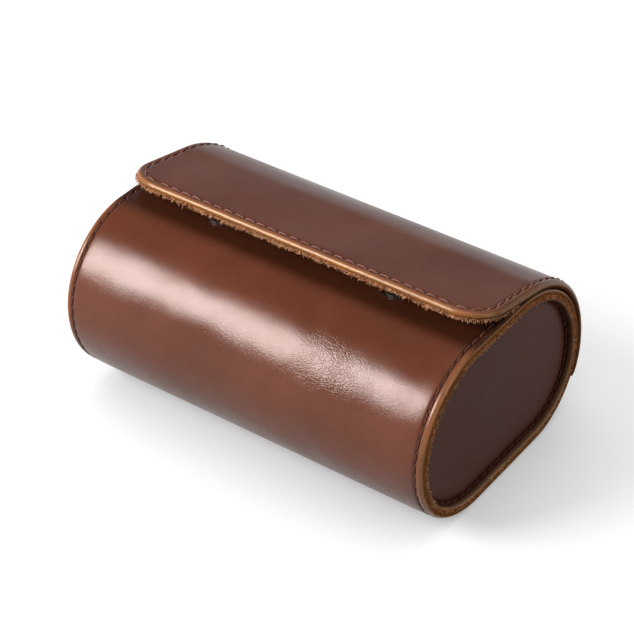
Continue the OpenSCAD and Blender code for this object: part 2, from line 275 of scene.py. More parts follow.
@dataclass(frozen=True)
class CaseOutline:
    """The case's rounded section: four quarter arcs, a flat top and a flat bottom."""

    sizes: CaseSizes = field(default_factory=CaseSizes)

    def ends(self, piece: PieceOf) -> tuple[tuple[float, float], float, float]:
        """Centre, radius and first normal of an arc of the outline."""
        s = self.sizes
        return {
            PieceOf.BACK_TOP: (s.back_top_c, s.back_top_r, 90.0),
            PieceOf.BACK_BOTTOM: (s.back_bottom_c, s.back_bottom_r, 0.0),
            PieceOf.FRONT_BOTTOM: (s.front_bottom_c, s.front_bottom_r, -90.0),
            PieceOf.FRONT_TOP: (s.front_top_c, s.front_top_r, -180.0),
        }[piece]

    def length(self, piece: PieceOf, depth: float) -> float:
        """Length of one piece of the outline at a depth below the outer leather."""
        s = self.sizes
        if piece is PieceOf.TOP:
            return s.back_top_c[0] - s.front_top_c[0]
        if piece is PieceOf.BOTTOM:
            return s.back_bottom_c[0] - s.front_bottom_c[0]
        return math.pi / 2 * (self.ends(piece)[1] - depth)

    def at(self, distance: float, depth: float) -> tuple[Array, float]:
        """Place and normal at a distance clockwise from the front of the flat top.

        Args:
            distance: Distance along the outline, at that depth.
            depth: Depth below the outer leather.

        Returns:
            The (y, z) there and the normal in degrees.
        """
        s = self.sizes
        for piece in PieceOf:
            length = self.length(piece, depth)
            if distance <= length or piece is PieceOf.FRONT_TOP:
                break
            distance -= length
        share = distance / length
        if piece is PieceOf.TOP:
            return np.array([s.front_top_c[0] + distance, s.height - depth]), 90.0
        if piece is PieceOf.BOTTOM:
            return np.array([s.back_bottom_c[0] - distance, depth]), -90.0
        centre, radius, first = self.ends(piece)
        normal = first - 90 * share
        return np.array(centre) + (radius - depth) * unit(normal), normal

    def total(self, depth: float) -> float:
        """Length all round at a depth."""
        return sum(self.length(piece, depth) for piece in PieceOf)

    def strip(self, back_z: float, front_y: float, pitch: float) -> Stations:
        """The wall from the mouth's back edge, under the case, to the mouth's front edge.

        Args:
            back_z: Height of the back edge on the outer leather.
            front_y: Place of the front edge on the flat top.
            pitch: Longest distance between two stations.

        Returns:
            Stations clockwise from the back edge.
        """
        s = self.sizes
        top = angle_at(back_z, s.back_top_c, s.back_top_r)
        line = arc(s.back_top_c, s.back_top_r, top, 0, pitch)
        line = line.joined(arc(s.back_bottom_c, s.back_bottom_r, 0, -90, pitch))
        line = line.joined(straight((s.back_bottom_c[0], 0), (s.front_bottom_c[0], 0), -90, pitch))
        line = line.joined(arc(s.front_bottom_c, s.front_bottom_r, -90, -180, pitch))
        line = line.joined(arc(s.front_top_c, s.front_top_r, -180, -270, pitch))
        return line.joined(straight((s.front_top_c[0], s.height), (front_y, s.height), 90, pitch))

    def closing(self, back_z: float, front_y: float, pitch: float) -> Stations:
        """The rest of the outline, over the mouth, from its front edge to its back edge."""
        s = self.sizes
        top = angle_at(back_z, s.back_top_c, s.back_top_r)
        line = straight((front_y, s.height), (s.back_top_c[0], s.height), 90, pitch)
        return line.joined(arc(s.back_top_c, s.back_top_r, 90, top, pitch))

    def ring(self, pitch: float) -> Stations:
        """The whole outline as a closed line, without its last point."""
        s = self.sizes
        line = self.strip(s.mouth_back_z, s.mouth_front_y, pitch)
        return line.joined(self.closing(s.mouth_back_z, s.mouth_front_y, pitch)).opened()


# Meshes


@dataclass
class Form:
    """A mesh being made: points in millimetres, faces, and a value at each point by name."""

    points: Array
    faces: list[tuple[int, ...]]
    marks: dict[str, Array] = field(default_factory=dict)

    def add(self, other: "Form") -> "Form":
        """This form and another as one."""
        shift = len(self.points)
        marks = {}
        for name in sorted(set(self.marks) | set(other.marks)):
            mine = self.marks.get(name, np.zeros(len(self.points)))
            theirs = other.marks.get(name, np.zeros(len(other.points)))
            marks[name] = np.concatenate([mine, theirs])
        faces = self.faces + [tuple(i + shift for i in face) for face in other.faces]
        return Form(np.concatenate([self.points, other.points]), faces, marks)

    def mirrored(self) -> "Form":
        """The form as it is at the other end of the case."""
        faces = [face[::-1] for face in self.faces]
        return Form(self.points * np.array([-1, 1, 1]), faces, dict(self.marks))

    def at(self, end: End) -> "Form":
        """The form, made for the right end, as it is at the given end."""
        return self if end is End.RIGHT else self.mirrored()


def placed(name: str, data: bpy.types.ID) -> bpy.types.Object:
    """A new object in the scene."""
    made = bpy.data.objects.new(name, data)
    bpy.context.scene.collection.objects.link(made)
    return made


def baked(piece: bpy.types.Object) -> bpy.types.Mesh:
    """The mesh that an object has with its modifiers, which are then removed."""
    graph = bpy.context.evaluated_depsgraph_get()
    mesh = bpy.data.meshes.new_from_object(
        piece.evaluated_get(graph), preserve_all_data_layers=True, depsgraph=graph
    )
    piece.modifiers.clear()
    return mesh


def points_of(mesh: bpy.types.Mesh) -> Array:
    """A mesh's points as an array."""
    points = np.empty(len(mesh.vertices) * 3)
    mesh.vertices.foreach_get("co", points)
    return points.reshape(-1, 3)


def make_piece(
    name: str, form: Form, finish: Material, smooth: bool = True
) -> bpy.types.Object:
    """A Blender object from a form, in metres, with the place at rest kept at each point.

    Args:
        name: The piece's name.
        form: Its points, faces and marks.
        finish: Its material.
        smooth: Whether its faces are shaded smooth.

    Returns:
        The object, linked to the scene.
    """
    mesh = bpy.data.meshes.new(name)
    points = form.points * MM
    mesh.from_pydata(points.tolist(), [], form.faces)
    mesh.validate(clean_customdata=False)
    for mark, values in form.marks.items():
        mesh.attributes.new(mark, "FLOAT", "POINT").data.foreach_set("value", values.astype(np.float32))
    place = mesh.attributes.new("place", "FLOAT_VECTOR", "POINT")
    place.data.foreach_set("vector", points.astype(np.float32).ravel())
    mesh.polygons.foreach_set("use_smooth", [smooth] * len(mesh.polygons))
    mesh.materials.append(finish)
    mesh.update()
    return placed(name, mesh)


def sheet_form(
    outer: Array,
    inner: Array,
    keep: Array,
    closed: bool,
    bulge: float,
    marks: dict[str, Array] | None = None,
    steps: int = 5,
) -> Form:
    """A sheet with two faces and a rounded edge.

    Args:
        outer: Points of the outer face, of shape (rows, columns, 3).
        inner: Points of the inner face, of the same shape.
        keep: Which cells of the grid are there.
        closed: Whether the last row joins the first.
        bulge: How far the rounded edge stands past the grid's edge.
        marks: Values at the outer face's points, which the edge and inner face repeat.
        steps: Points across the edge.

    Returns:
        The form, with marks raw (1 on the edge) and flesh (1 on the inner face) added.
    """
    rows, columns = outer.shape[:2]
    index = np.arange(rows * columns).reshape(rows, columns)
    first = np.arange(rows if closed else rows - 1)
    second = (first + 1) % rows
    quads = np.stack(
        [index[first][:, :-1], index[second][:, :-1], index[second][:, 1:], index[first][:, 1:]], -1
    )[keep]
    top, low = outer.reshape(-1, 3), inner.reshape(-1, 3)
    a, b, c = top[quads[0, 0]], top[quads[0, 1]], top[quads[0, 2]]
    if np.cross(b - a, c - a) @ (a - low[quads[0, 0]]) < 0:
        quads = quads[:, ::-1]
    edges = np.stack([quads, np.roll(quads, -1, 1)], -1).reshape(-1, 2)
    owner = np.repeat(np.arange(len(quads)), 4)
    key = np.sort(edges, 1)
    key = key[:, 0] * (rows * columns) + key[:, 1]
    _, where, count = np.unique(key, return_inverse=True, return_counts=True)
    rim = count[where] == 1
    edges, owner = edges[rim], owner[rim]
    way = outward(top, quads, edges, owner)
    used = np.unique(edges)
    slot = {int(v): k for k, v in enumerate(used)}
    total = rows * columns
    levels = [used]
    points = [top, low]
    raw = [np.zeros(total), np.zeros(total)]
    flesh = [np.zeros(total), np.ones(total)]
    carried = {name: [values.ravel(), values.ravel()] for name, values in (marks or {}).items()}
    for k in range(1, steps + 1):
        turn = math.pi * k / (steps + 1)
        share = (1 - math.cos(turn)) / 2
        stand = bulge * math.sin(turn) ** 0.75
        points.append(top[used] * (1 - share) + low[used] * share + way[used] * stand)
        raw.append(np.full(len(used), min(1.0, 1.5 * math.sin(turn))))
        flesh.append(np.full(len(used), share))
        levels.append(2 * total + (k - 1) * len(used) + np.arange(len(used)))
        for values in carried.values():
            values.append(values[0][used])
    levels.append(used + total)
    faces = [tuple(int(i) for i in quad) for quad in quads]
    faces += [tuple(int(i) + total for i in quad[::-1]) for quad in quads]
    for u, v in edges:
        i, j = slot[int(u)], slot[int(v)]
        for near, far in zip(levels[:-1], levels[1:]):
            faces.append((int(near[j]), int(near[i]), int(far[i]), int(far[j])))
    carried = {"raw": raw, "flesh": flesh, **carried}
    joined = {name: np.concatenate(values) for name, values in carried.items()}
    return without_loose(Form(np.concatenate(points), faces, joined))


def outward(top: Array, quads: Array, edges: Array, owner: Array) -> Array:
    """The way out of a sheet, in its own plane, at each point of its rim.

    Args:
        top: Points of the outer face.
        quads: Its faces.
        edges: The rim's edges, as pairs of points.
        owner: The face that each of them belongs to.

    Returns:
        One vector for each point of the outer face, zero away from the rim.
    """
    start, end = top[edges[:, 0]], top[edges[:, 1]]
    corners = top[quads[owner]]
    normal = np.cross(corners[:, 2] - corners[:, 0], corners[:, 3] - corners[:, 1])
    normal /= np.maximum(np.linalg.norm(normal, axis=1, keepdims=True), 1e-12)
    line = end - start
    line /= np.maximum(np.linalg.norm(line, axis=1, keepdims=True), 1e-12)
    way = (start + end) / 2 - corners.mean(1)
    way -= (way * line).sum(1, keepdims=True) * line
    way -= (way * normal).sum(1, keepdims=True) * normal
    way /= np.maximum(np.linalg.norm(way, axis=1, keepdims=True), 1e-12)
    total = np.zeros_like(top)
    np.add.at(total, edges[:, 0], way)
    np.add.at(total, edges[:, 1], way)
    size = np.maximum(np.linalg.norm(total, axis=1, keepdims=True), 1e-12)
    return np.where(size > 0.3, total / size * np.minimum(2 / size, 1.5), 0)


def without_loose(form: Form) -> Form:
    """The form without points that no face uses."""
    used = np.unique(np.concatenate([np.array(face) for face in form.faces]))
    place = np.full(len(form.points), -1)
    place[used] = np.arange(len(used))
    faces = [tuple(int(place[i]) for i in face) for face in form.faces]
    return Form(form.points[used], faces, {name: values[used] for name, values in form.marks.items()})


def wound_quads(rings: int, size: int, closed: bool = False) -> Array:
    """The quads between rings of points that are numbered ring by ring.

    Args:
        rings: How many rings there are.
        size: Points in each ring.
        closed: Whether the last ring joins the first.

    Returns:
        An array of shape (quads, 4).
    """
    index = np.arange(rings * size).reshape(rings, size)
    ahead = np.roll(index, -1, 1)
    far, far_ahead = np.roll(index, -1, 0), np.roll(ahead, -1, 0)
    last = rings if closed else rings - 1
    return np.stack([index, ahead, far_ahead, far], -1)[:last].reshape(-1, 4)


def loft_form(rings: Array, marks: dict[str, Array] | None = None) -> Form:
    """A closed solid through rings of points, whose first and last ring close to a point.

    Args:
        rings: Points of shape (rings, points, 3).
        marks: A value for each ring, by name.

    Returns:
        The form.
    """
    count, size = rings.shape[:2]
    points = np.concatenate([rings.reshape(-1, 3), rings[:1].mean(1), rings[-1:].mean(1)])
    first, last = count * size, count * size + 1
    ring = list(range(size))
    ahead = ring[1:] + ring[:1]
    end = first - size
    faces = [tuple(quad) for quad in wound_quads(count, size).tolist()]
    faces += [(first, j, i) for i, j in zip(ring, ahead)]
    faces += [(last, end + i, end + j) for i, j in zip(ring, ahead)]
    form = Form(points, faces)
    for name, values in (marks or {}).items():
        spread = np.repeat(np.asarray(values, float), size)
        form.marks[name] = np.concatenate([spread, [values[0], values[-1]]])
    if volume(form) < 0:
        form.faces = [face[::-1] for face in form.faces]
    return form


def volume(form: Form) -> float:
    """The signed volume of a closed form."""
    total = 0.0
    middle = form.points.mean(0)
    for face in form.faces:
        corners = form.points[list(face)] - middle
        for k in range(1, len(face) - 1):
            total += float(corners[0] @ np.cross(corners[k], corners[k + 1]))
    return total / 6


def drawn_out(stations: Stations, xs: Array, depth: Array) -> Array:
    """Points of a face drawn out along X.

    Args:
        stations: The line in the section.
        xs: Places along X, one for each column, or one for each point of the grid.
        depth: Depth below the outer face at each point of the grid.

    Returns:
        An array of shape (stations, columns, 3).
    """
    rows, columns = depth.shape
    points = np.empty((rows, columns, 3))
    points[..., 0] = np.broadcast_to(xs, depth.shape)
    reach = stations.radius[:, None] - depth
    points[..., 1:] = stations.base[:, None] + reach[..., None] * stations.normal[:, None]
    return points


def upright(x: float | Array, points: Array) -> Array:
    """Points of the section, (y, z), placed at X."""
    return np.column_stack([np.broadcast_to(x, len(points)), points])


def spaced(count: int, pitch: float) -> Array:
    """Places a pitch apart, evenly to both sides of zero."""
    return (np.arange(count) - (count - 1) / 2) * pitch


def bell(distance: Array, width: float) -> Array:
    """1 where a distance is zero, falling away over about two widths."""
    return np.exp(-((distance / width) ** 2))


def rounded(distance: Array, start: float, over: float) -> Array:
    """0 up to where an edge's rounding starts, then rising as a square towards the edge."""
    return (np.clip(start - distance, 0, None) / over) ** 2


def ripple(values: Array, seed: int, *lengths: float) -> Array:
    """A smooth random wave between about -1 and 1, the same on every run.

    Args:
        values: Where it is wanted.
        seed: Which wave.
        lengths: Its wavelengths, in the unit of the values.

    Returns:
        Its height at each value.
    """
    rng = np.random.default_rng(seed)
    total = np.zeros_like(np.asarray(values, float))
    for length in lengths:
        for _ in range(3):
            stretch = length * rng.uniform(0.75, 1.3)
            total += np.sin(2 * np.pi * values / stretch + rng.uniform(0, 2 * np.pi))
    return total / (3 * len(lengths))


# Finishes


def shade(colour: Colour, factor: float) -> Colour:
    """A colour made lighter or darker."""
    return tuple(min(1.0, part * factor) for part in colour)


class Nodes:
    """Short calls for the nodes of a material or of the world."""

    def __init__(self, owner: bpy.types.ID) -> None:
        """Starts with an empty tree.

        Args:
            owner: The material or world that the tree belongs to.
        """
        owner.use_nodes = True
        self.tree = owner.node_tree
        self.tree.nodes.clear()

    def node(self, kind: str, **settings: object) -> bpy.types.Node:
        """A new node with some of its settings given."""
        made = self.tree.nodes.new("ShaderNode" + kind)
        for name, value in settings.items():
            setattr(made, name, value)
        return made

    def put(self, socket: Socket, value: object) -> None:
        """Gives a socket a number, a colour or another node's output."""
        if isinstance(value, Socket):
            self.tree.links.new(value, socket)
        elif isinstance(value, tuple) and len(value) == 3 and socket.type == "RGBA":
            socket.default_value = (*value, 1.0)
        else:
            socket.default_value = value

    def place(self, rest: bool) -> Socket:
        """Coordinates in metres: the place kept on this scene's pieces, or a CAD node's own."""
        if rest:
            return self.node("Attribute", attribute_name="place").outputs["Vector"]
        return self.node("TexCoord").outputs["Object"]

    def mark(self, name: str) -> Socket:
        """A value kept at the mesh's points."""
        return self.node("Attribute", attribute_name=name).outputs["Fac"]

    def stretched(self, place: Socket, scale: Triple) -> Socket:
        """Coordinates scaled along each axis."""
        made = self.node("Mapping")
        self.put(made.inputs["Vector"], place)
        made.inputs["Scale"].default_value = scale
        return made.outputs[0]

    def vector(self, operation: str, *values: object, out: str = "Vector") -> Socket:
        """A sum of the Vector Math node."""
        made = self.node("VectorMath", operation=operation)
        for socket, value in zip(made.inputs, values):
            self.put(socket, value)
        return made.outputs[out]

    def tones(
        self, value: object, low: float, high: float, colour: Colour, dark: float, light: float
    ) -> Socket:
        """A colour that runs from a darker to a lighter shade of itself as a value rises."""
        return self.mix(self.span(value, low, high), shade(colour, dark), shade(colour, light))

    def noise(
        self,
        place: Socket,
        scale: float,
        detail: float = 3.0,
        rough: float = 0.5,
        twist: float = 0.0,
    ) -> Socket:
        """Noise between 0 and 1, scale to the metre."""
        made = self.node("TexNoise")
        self.put(made.inputs["Vector"], place)
        made.inputs["Scale"].default_value = scale
        made.inputs["Detail"].default_value = detail
        made.inputs["Roughness"].default_value = rough
        made.inputs["Distortion"].default_value = twist
        return made.outputs["Fac"]

    def cells(self, place: Socket, scale: float, feature: str = "F1") -> Socket:
        """Distances in a pattern of cells, scale to the metre."""
        made = self.node("TexVoronoi", feature=feature)
        self.put(made.inputs["Vector"], place)
        made.inputs["Scale"].default_value = scale
        return made.outputs["Distance"]

    def math(self, operation: str, a: object, b: object = 0.5, c: object = 0.5) -> Socket:
        """A sum of the Math node."""
        made = self.node("Math", operation=operation)
        for socket, value in zip(made.inputs, (a, b, c)):
            self.put(socket, value)
        return made.outputs[0]

    def span(
        self, value: object, low: float, high: float, to_low: float = 0.0, to_high: float = 1.0
    ) -> Socket:
        """A value moved smoothly from one range to another and held there."""
        made = self.node("MapRange", interpolation_type="SMOOTHSTEP")
        self.put(made.inputs[0], value)
        for socket, number in zip(list(made.inputs)[1:5], (low, high, to_low, to_high)):
            socket.default_value = number
        return made.outputs[0]

    def mix(self, share: object, a: object, b: object, kind: str = "RGBA") -> Socket:
        """Two colours, or two vectors, mixed."""
        made = self.node("Mix", data_type=kind)
        sockets = [s for s in made.inputs if s.enabled]
        for socket, value in zip(sockets, (share, a, b)):
            self.put(socket, value)
        return next(s for s in made.outputs if s.enabled)

    def bump(
        self, height: object, strength: object, distance: float, under: object = None
    ) -> Socket:
        """A bumped normal, distance in metres."""
        made = self.node("Bump")
        self.put(made.inputs["Strength"], strength)
        made.inputs["Distance"].default_value = distance
        self.put(made.inputs["Height"], height)
        if under is not None:
            self.put(made.inputs["Normal"], under)
        return made.outputs[0]

    def background(self, colour: Colour, strength: object) -> Socket:
        """The world's own light."""
        made = self.node("Background")
        self.put(made.inputs["Color"], (*colour, 1.0))
        self.put(made.inputs["Strength"], strength)
        return made.outputs[0]

    def shaders(self, share: Socket, a: Socket, b: Socket) -> Socket:
        """Two shaders mixed."""
        made = self.node("MixShader")
        for socket, value in zip(made.inputs, (share, a, b)):
            self.put(socket, value)
        return made.outputs[0]


class Paint(Nodes):
    """A material being made."""

    def __init__(self, name: str) -> None:
        """Starts a material with one Principled shader.

        Args:
            name: The material's name.
        """
        self.material = bpy.data.materials.new(name)
        super().__init__(self.material)
        self.shader = self.node("BsdfPrincipled")
        self.put(self.node("OutputMaterial").inputs[0], self.shader.outputs[0])

    def done(self, **values: object) -> Material:
        """Gives the shader its values by socket name, with _ for a space, and returns the material."""
        for name, value in values.items():
            self.put(self.shader.inputs[name.replace("_", " ")], value)
        return self.material


@dataclass(frozen=True)
class WaxedLeather:
    """Smooth pull-up leather: waxed face, burnished tan edges and a flesh side.

    Attributes:
        name: The material's name.
        colour: The face.
        rubbed_and_highlight: The face where the mark rub is 1: paler, worn leather and a painted highlight
            along burnished edges.
        edge: The cut edge, where the mark raw is 1.
        flesh: The inner side, where the mark flesh is 1.
        gloss: Roughness of the face.
        shine: Specular level of the face.
        undulation: Height of the wide unevenness, in metres.
        burnished: Share of the edge, from the face inwards, that is waxed smooth.
        creases: Strength of the fine crackle.
        crackled: Middle of the spot with most crackle, in metres.
        seed: Shift of the patterns, in metres, so that no two leathers share them.
    """

    name: str
    colour: Colour
    rubbed_and_highlight: Colour = (0.4, 0.155, 0.062)
    edge: Colour = (0.5, 0.17, 0.042)
    flesh: Colour = (0.36, 0.16, 0.06)
    gloss: float = 0.21
    shine: float = 0.46
    undulation: float = 0.0022
    burnished: float = 0.04
    creases: float = 1.0
    crackled: Triple = (0.0, 0.0, -1.0)
    seed: float = 0.0

    def material(self) -> Material:
        """Builds the node tree."""
        p = Paint(self.name)
        place = p.place(rest=True)
        if self.seed:
            place = p.vector("ADD", place, (self.seed, self.seed * 0.7, self.seed * 0.3))
        clouds = p.noise(place, 28, 4, 0.55, 0.4)
        flecks = p.noise(place, 420, 3, 0.6)
        fibres = p.noise(place, 1500, 5, 0.8, 0.6)
        patchiness = p.span(p.noise(place, 160, 4, 0.6), 0.2, 0.7, 0.45, 1.0)
        rub = p.math("MULTIPLY", p.mark("rub"), patchiness)
        raw = p.span(p.mark("raw"), 0.12, 0.7)
        fuzzy = p.span(p.mark("flesh"), self.burnished, self.burnished + 0.22)
        face = self.face(p, clouds, flecks, rub)
        skin = p.mix(raw, face, self.cut_edge(p, place, fibres, fuzzy))
        nap = p.noise(place, 1500, 5, 0.7, 0.8)
        flesh = p.tones(nap, 0.25, 0.75, self.flesh, 0.6, 1.3)
        skin = p.mix(p.span(p.mark("flesh"), 0.75, 1.0), skin, flesh)
        relief = self.relief(p, place)
        rough_edge = p.bump(fibres, p.math("MULTIPLY_ADD", fuzzy, 0.9, 0.1), 0.0003, relief)
        gloss = p.span(clouds, 0.2, 0.8, self.gloss - 0.03, self.gloss + 0.05)
        gloss = p.math("ADD", gloss, p.math("MULTIPLY", flecks, 0.05))
        worn = p.math("MULTIPLY", raw, p.math("MULTIPLY_ADD", fuzzy, 0.6, 0.26))
        glossy = p.math("MULTIPLY_ADD", p.math("MULTIPLY", raw, fuzzy), -0.7 * self.shine, self.shine)
        dull = p.math("MAXIMUM", worn, p.math("MULTIPLY", p.mark("flesh"), 0.85))
        return p.done(
            Base_Color=skin,
            Roughness=p.math("MAXIMUM", gloss, dull),
            Normal=p.mix(raw, relief, rough_edge, "VECTOR"),
            Specular_IOR_Level=glossy,
            Specular_Tint=p.mix(p.math("MAXIMUM", rub, raw), (1.0, 0.86, 0.83), (1.0, 0.92, 0.7)),
        )

    def face(self, p: Paint, clouds: Socket, flecks: Socket, rub: Socket) -> Socket:
        """The waxed face: cloudy, flecked, paler where worn by rubbing, with a painted highlight along
        burnished edges, and painted shade in furrows, stitch holes, recesses and under the flap's edge.
        """
        face = p.tones(clouds, 0.3, 0.72, self.colour, 0.86, 1.14)
        face = p.mix(p.span(flecks, 0.42, 0.75, 0.0, 0.3), face, shade(self.colour, 0.72))
        # Paler worn leather and a painted highlight where the mark rub is high.
        face = p.mix(rub, face, self.rubbed_and_highlight)
        # Painted shade: the face darkens towards a fifth of its colour where the mark sunk is high.
        return p.mix(p.mark("sunk"), face, shade(self.colour, 0.22))

    def cut_edge(self, p: Paint, place: Socket, fibres: Socket, fuzzy: Socket) -> Socket:
        """The cut edge: burnished next to the face, layered and fibrous below it."""
        layers = p.noise(place, 620, 4, 0.7, 1.5)
        edge = p.tones(fibres, 0.36, 0.64, self.edge, 0.3, 1.45)
        edge = p.mix(p.span(layers, 0.42, 0.64, 0.0, 0.75), edge, shade(self.edge, 0.4))
        across = p.node("CombineXYZ")
        p.put(across.inputs[0], p.math("MULTIPLY", p.mark("flesh"), 0.005))
        drawn = p.vector("MULTIPLY_ADD", place, (0.3, 0.3, 0.3), across.outputs[0])
        grain = p.noise(drawn, 1500, 3, 0.7)
        edge = p.mix(p.span(grain, 0.42, 0.6, 0.75, 0.0), edge, shade(self.edge, 0.25))
        burnt = p.tones(layers, 0.3, 0.7, self.edge, 0.85, 1.35)
        burnt = p.mix(p.span(grain, 0.42, 0.6, 0.6, 0.0), burnt, shade(self.edge, 0.35))
        return p.mix(fuzzy, burnt, edge)

    def relief(self, p: Paint, place: Socket) -> Socket:
        """The face's bump: wide unevenness, fine crackle in patches, and pores."""
        patches = p.span(p.noise(place, 34, 3, 0.5, 0.6), 0.36, 0.68, 0.12, 0.5)
        apart = p.vector("DISTANCE", place, self.crackled, out="Value")
        apart = p.math("MULTIPLY_ADD", p.noise(place, 150, 2), 0.008, apart)
        patches = p.math("MAXIMUM", patches, p.span(apart, 0.009, 0.022, 1.0, 0.0))
        bend = p.node("TexNoise")
        p.put(bend.inputs["Vector"], place)
        bend.inputs["Scale"].default_value = 260
        wavy = p.vector("MULTIPLY_ADD", bend.outputs["Color"], (0.0026, 0.0026, 0.0026), place)
        crease = p.cells(p.stretched(wavy, (0.7, 1.25, 1.25)), 1150, "DISTANCE_TO_EDGE")
        crease = p.math("SUBTRACT", p.span(crease, 0.0, 0.22), 1.0)
        pores = p.math("MULTIPLY", p.cells(place, 1500), 0.5)
        pores = p.math("ADD", p.noise(place, 2400, 2, 0.5), pores)
        relief = p.bump(p.noise(place, 24, 2, 0.5), 1.0, self.undulation)
        relief = p.bump(p.math("MULTIPLY", crease, patches), 0.3 * self.creases, 0.00008, relief)
        return p.bump(pores, 0.2, 0.00007, relief)


@dataclass(frozen=True)
class Suede:
    """Napped leather: brushed patches, fine fibres and a soft sheen.

    Attributes:
        name: The material's name.
        colour: Its middle colour.
        nap: How high the nap stands, as a share.
    """

    name: str
    colour: Colour
    nap: float = 1.0

    def material(self) -> Material:
        """Builds the node tree."""
        p = Paint(self.name)
        place = p.place(rest=True)
        brushed = p.noise(p.stretched(place, (0.6, 1.2, 1.2)), 75, 4, 0.6, 1.4)
        fibres = p.noise(place, 2600, 5, 0.75, 0.7)
        tufts = p.noise(place, 650, 3, 0.6, 0.5)
        colour = p.tones(brushed, 0.35, 0.65, self.colour, 0.8, 1.14)
        colour = p.mix(p.span(fibres, 0.3, 0.75, 0.0, 0.55), colour, shade(self.colour, 0.6))
        colour = p.mix(p.span(tufts, 0.45, 0.75, 0.0, 0.3), colour, shade(self.colour, 1.4))
        relief = p.bump(tufts, 0.35 * self.nap, 0.0003)
        relief = p.bump(fibres, 0.6 * self.nap, 0.00018, relief)
        return p.done(
            Base_Color=colour,
            Roughness=p.span(fibres, 0.2, 0.8, 0.86, 0.98),
            Normal=relief,
            Specular_IOR_Level=0.18,
            Sheen_Weight=0.35,
            Sheen_Roughness=0.5,
            Sheen_Tint=(0.9, 0.72, 0.5),
        )


@dataclass(frozen=True)
class FrayedFibre:
    """Loose fibres of suede, pale at the tip and darker at the root, where the darkness is painted shade."""

    name: str
    root: Colour = (0.26, 0.06, 0.016)
    tip: Colour = (1.0, 0.54, 0.27)

    def material(self) -> Material:
        """Builds the node tree."""
        p = Paint(self.name)
        own = p.noise(p.place(rest=True), 1300, 2, 0.5)
        along = p.math("ADD", p.mark("tip"), p.span(own, 0.3, 0.7, -0.2, 0.2))
        along = p.math("ADD", along, p.span(p.mark("tone"), 0.1, 0.9, -0.6, 0.6))
        return p.done(
            Base_Color=p.mix(p.span(along, 0.0, 1.0), self.root, self.tip),
            Roughness=p.span(own, 0.2, 0.8, 0.5, 0.75),
            Specular_IOR_Level=0.35,
        )


@dataclass(frozen=True)
class WaxedThread:
    """Twisted thread, waxed, with a painted highlight, in the colour light, on the high spots of each ply.
    """

    name: str
    colour: Colour
    light: Colour

    def material(self) -> Material:
        """Builds the node tree."""
        p = Paint(self.name)
        place = p.place(rest=True)
        ply = p.span(p.mark("ply"), 0.25, 0.95)
        fuzz = p.noise(place, 5200, 4, 0.7)
        high = p.math("MULTIPLY", ply, p.span(p.noise(place, 300, 2), 0.3, 0.7, 0.5, 1.0))
        # Painted highlight: the high spots of each ply take the colour light.
        colour = p.mix(high, self.colour, self.light)
        colour = p.mix(p.span(fuzz, 0.5, 0.8, 0.0, 0.5), colour, shade(self.colour, 0.6))
        return p.done(
            Base_Color=colour,
            Roughness=p.span(fuzz, 0.2, 0.8, 0.42, 0.65),
            Normal=p.bump(fuzz, 0.5, 0.0001),
            Specular_IOR_Level=0.2,
        )


@dataclass(frozen=True)
class PressedBoard:
    """Grey-brown pressed board with short fibres."""

    name: str
    colour: Colour = (0.27, 0.225, 0.18)

    def material(self) -> Material:
        """Builds the node tree."""
        p = Paint(self.name)
        place = p.place(rest=False)
        fibres = p.noise(p.stretched(place, (0.35, 1.0, 1.0)), 1900, 5, 0.7, 1.2)
        spots = p.cells(place, 900)
        colour = p.tones(fibres, 0.3, 0.7, self.colour, 0.7, 1.35)
        colour = p.mix(p.span(spots, 0.0, 0.25, 0.5, 0.0), colour, shade(self.colour, 0.35))
        return p.done(
            Base_Color=colour,
            Roughness=p.span(fibres, 0.2, 0.8, 0.78, 0.94),
            Normal=p.bump(fibres, 0.4, 0.00015),
            Specular_IOR_Level=0.25,
        )


@dataclass(frozen=True)
class PlatedSteel:
    """Nickel-plated pressed steel with fine rubbing marks."""

    name: str
    colour: Colour = (0.17, 0.16, 0.145)

    def material(self) -> Material:
        """Builds the node tree."""
        p = Paint(self.name)
        place = p.place(rest=False)
        marks = p.noise(p.stretched(place, (1.0, 0.12, 1.0)), 5200, 4, 0.7)
        haze = p.noise(place, 700, 3, 0.6)
        return p.done(
            Base_Color=p.tones(haze, 0.3, 0.7, self.colour, 0.86, 1.1),
            Metallic=1.0,
            Roughness=p.span(marks, 0.25, 0.75, 0.3, 0.48),
            Normal=p.bump(marks, 0.12, 0.00004),
        )


@dataclass(frozen=True)
class Ferrite:
    """Dull sintered magnet with a fine grain and chipped spots."""

    name: str
    colour: Colour = (0.055, 0.056, 0.062)

    def material(self) -> Material:
        """Builds the node tree."""
        p = Paint(self.name)
        place = p.place(rest=False)
        grain = p.noise(place, 4200, 4, 0.7)
        chips = p.cells(place, 1600)
        colour = p.tones(grain, 0.3, 0.7, self.colour, 0.7, 1.5)
        return p.done(
            Base_Color=p.mix(p.span(chips, 0.0, 0.2, 0.6, 0.0), colour, shade(self.colour, 2.4)),
            Roughness=p.span(grain, 0.2, 0.8, 0.5, 0.7),
            Normal=p.bump(grain, 0.3, 0.00008),
            Metallic=0.35,
        )


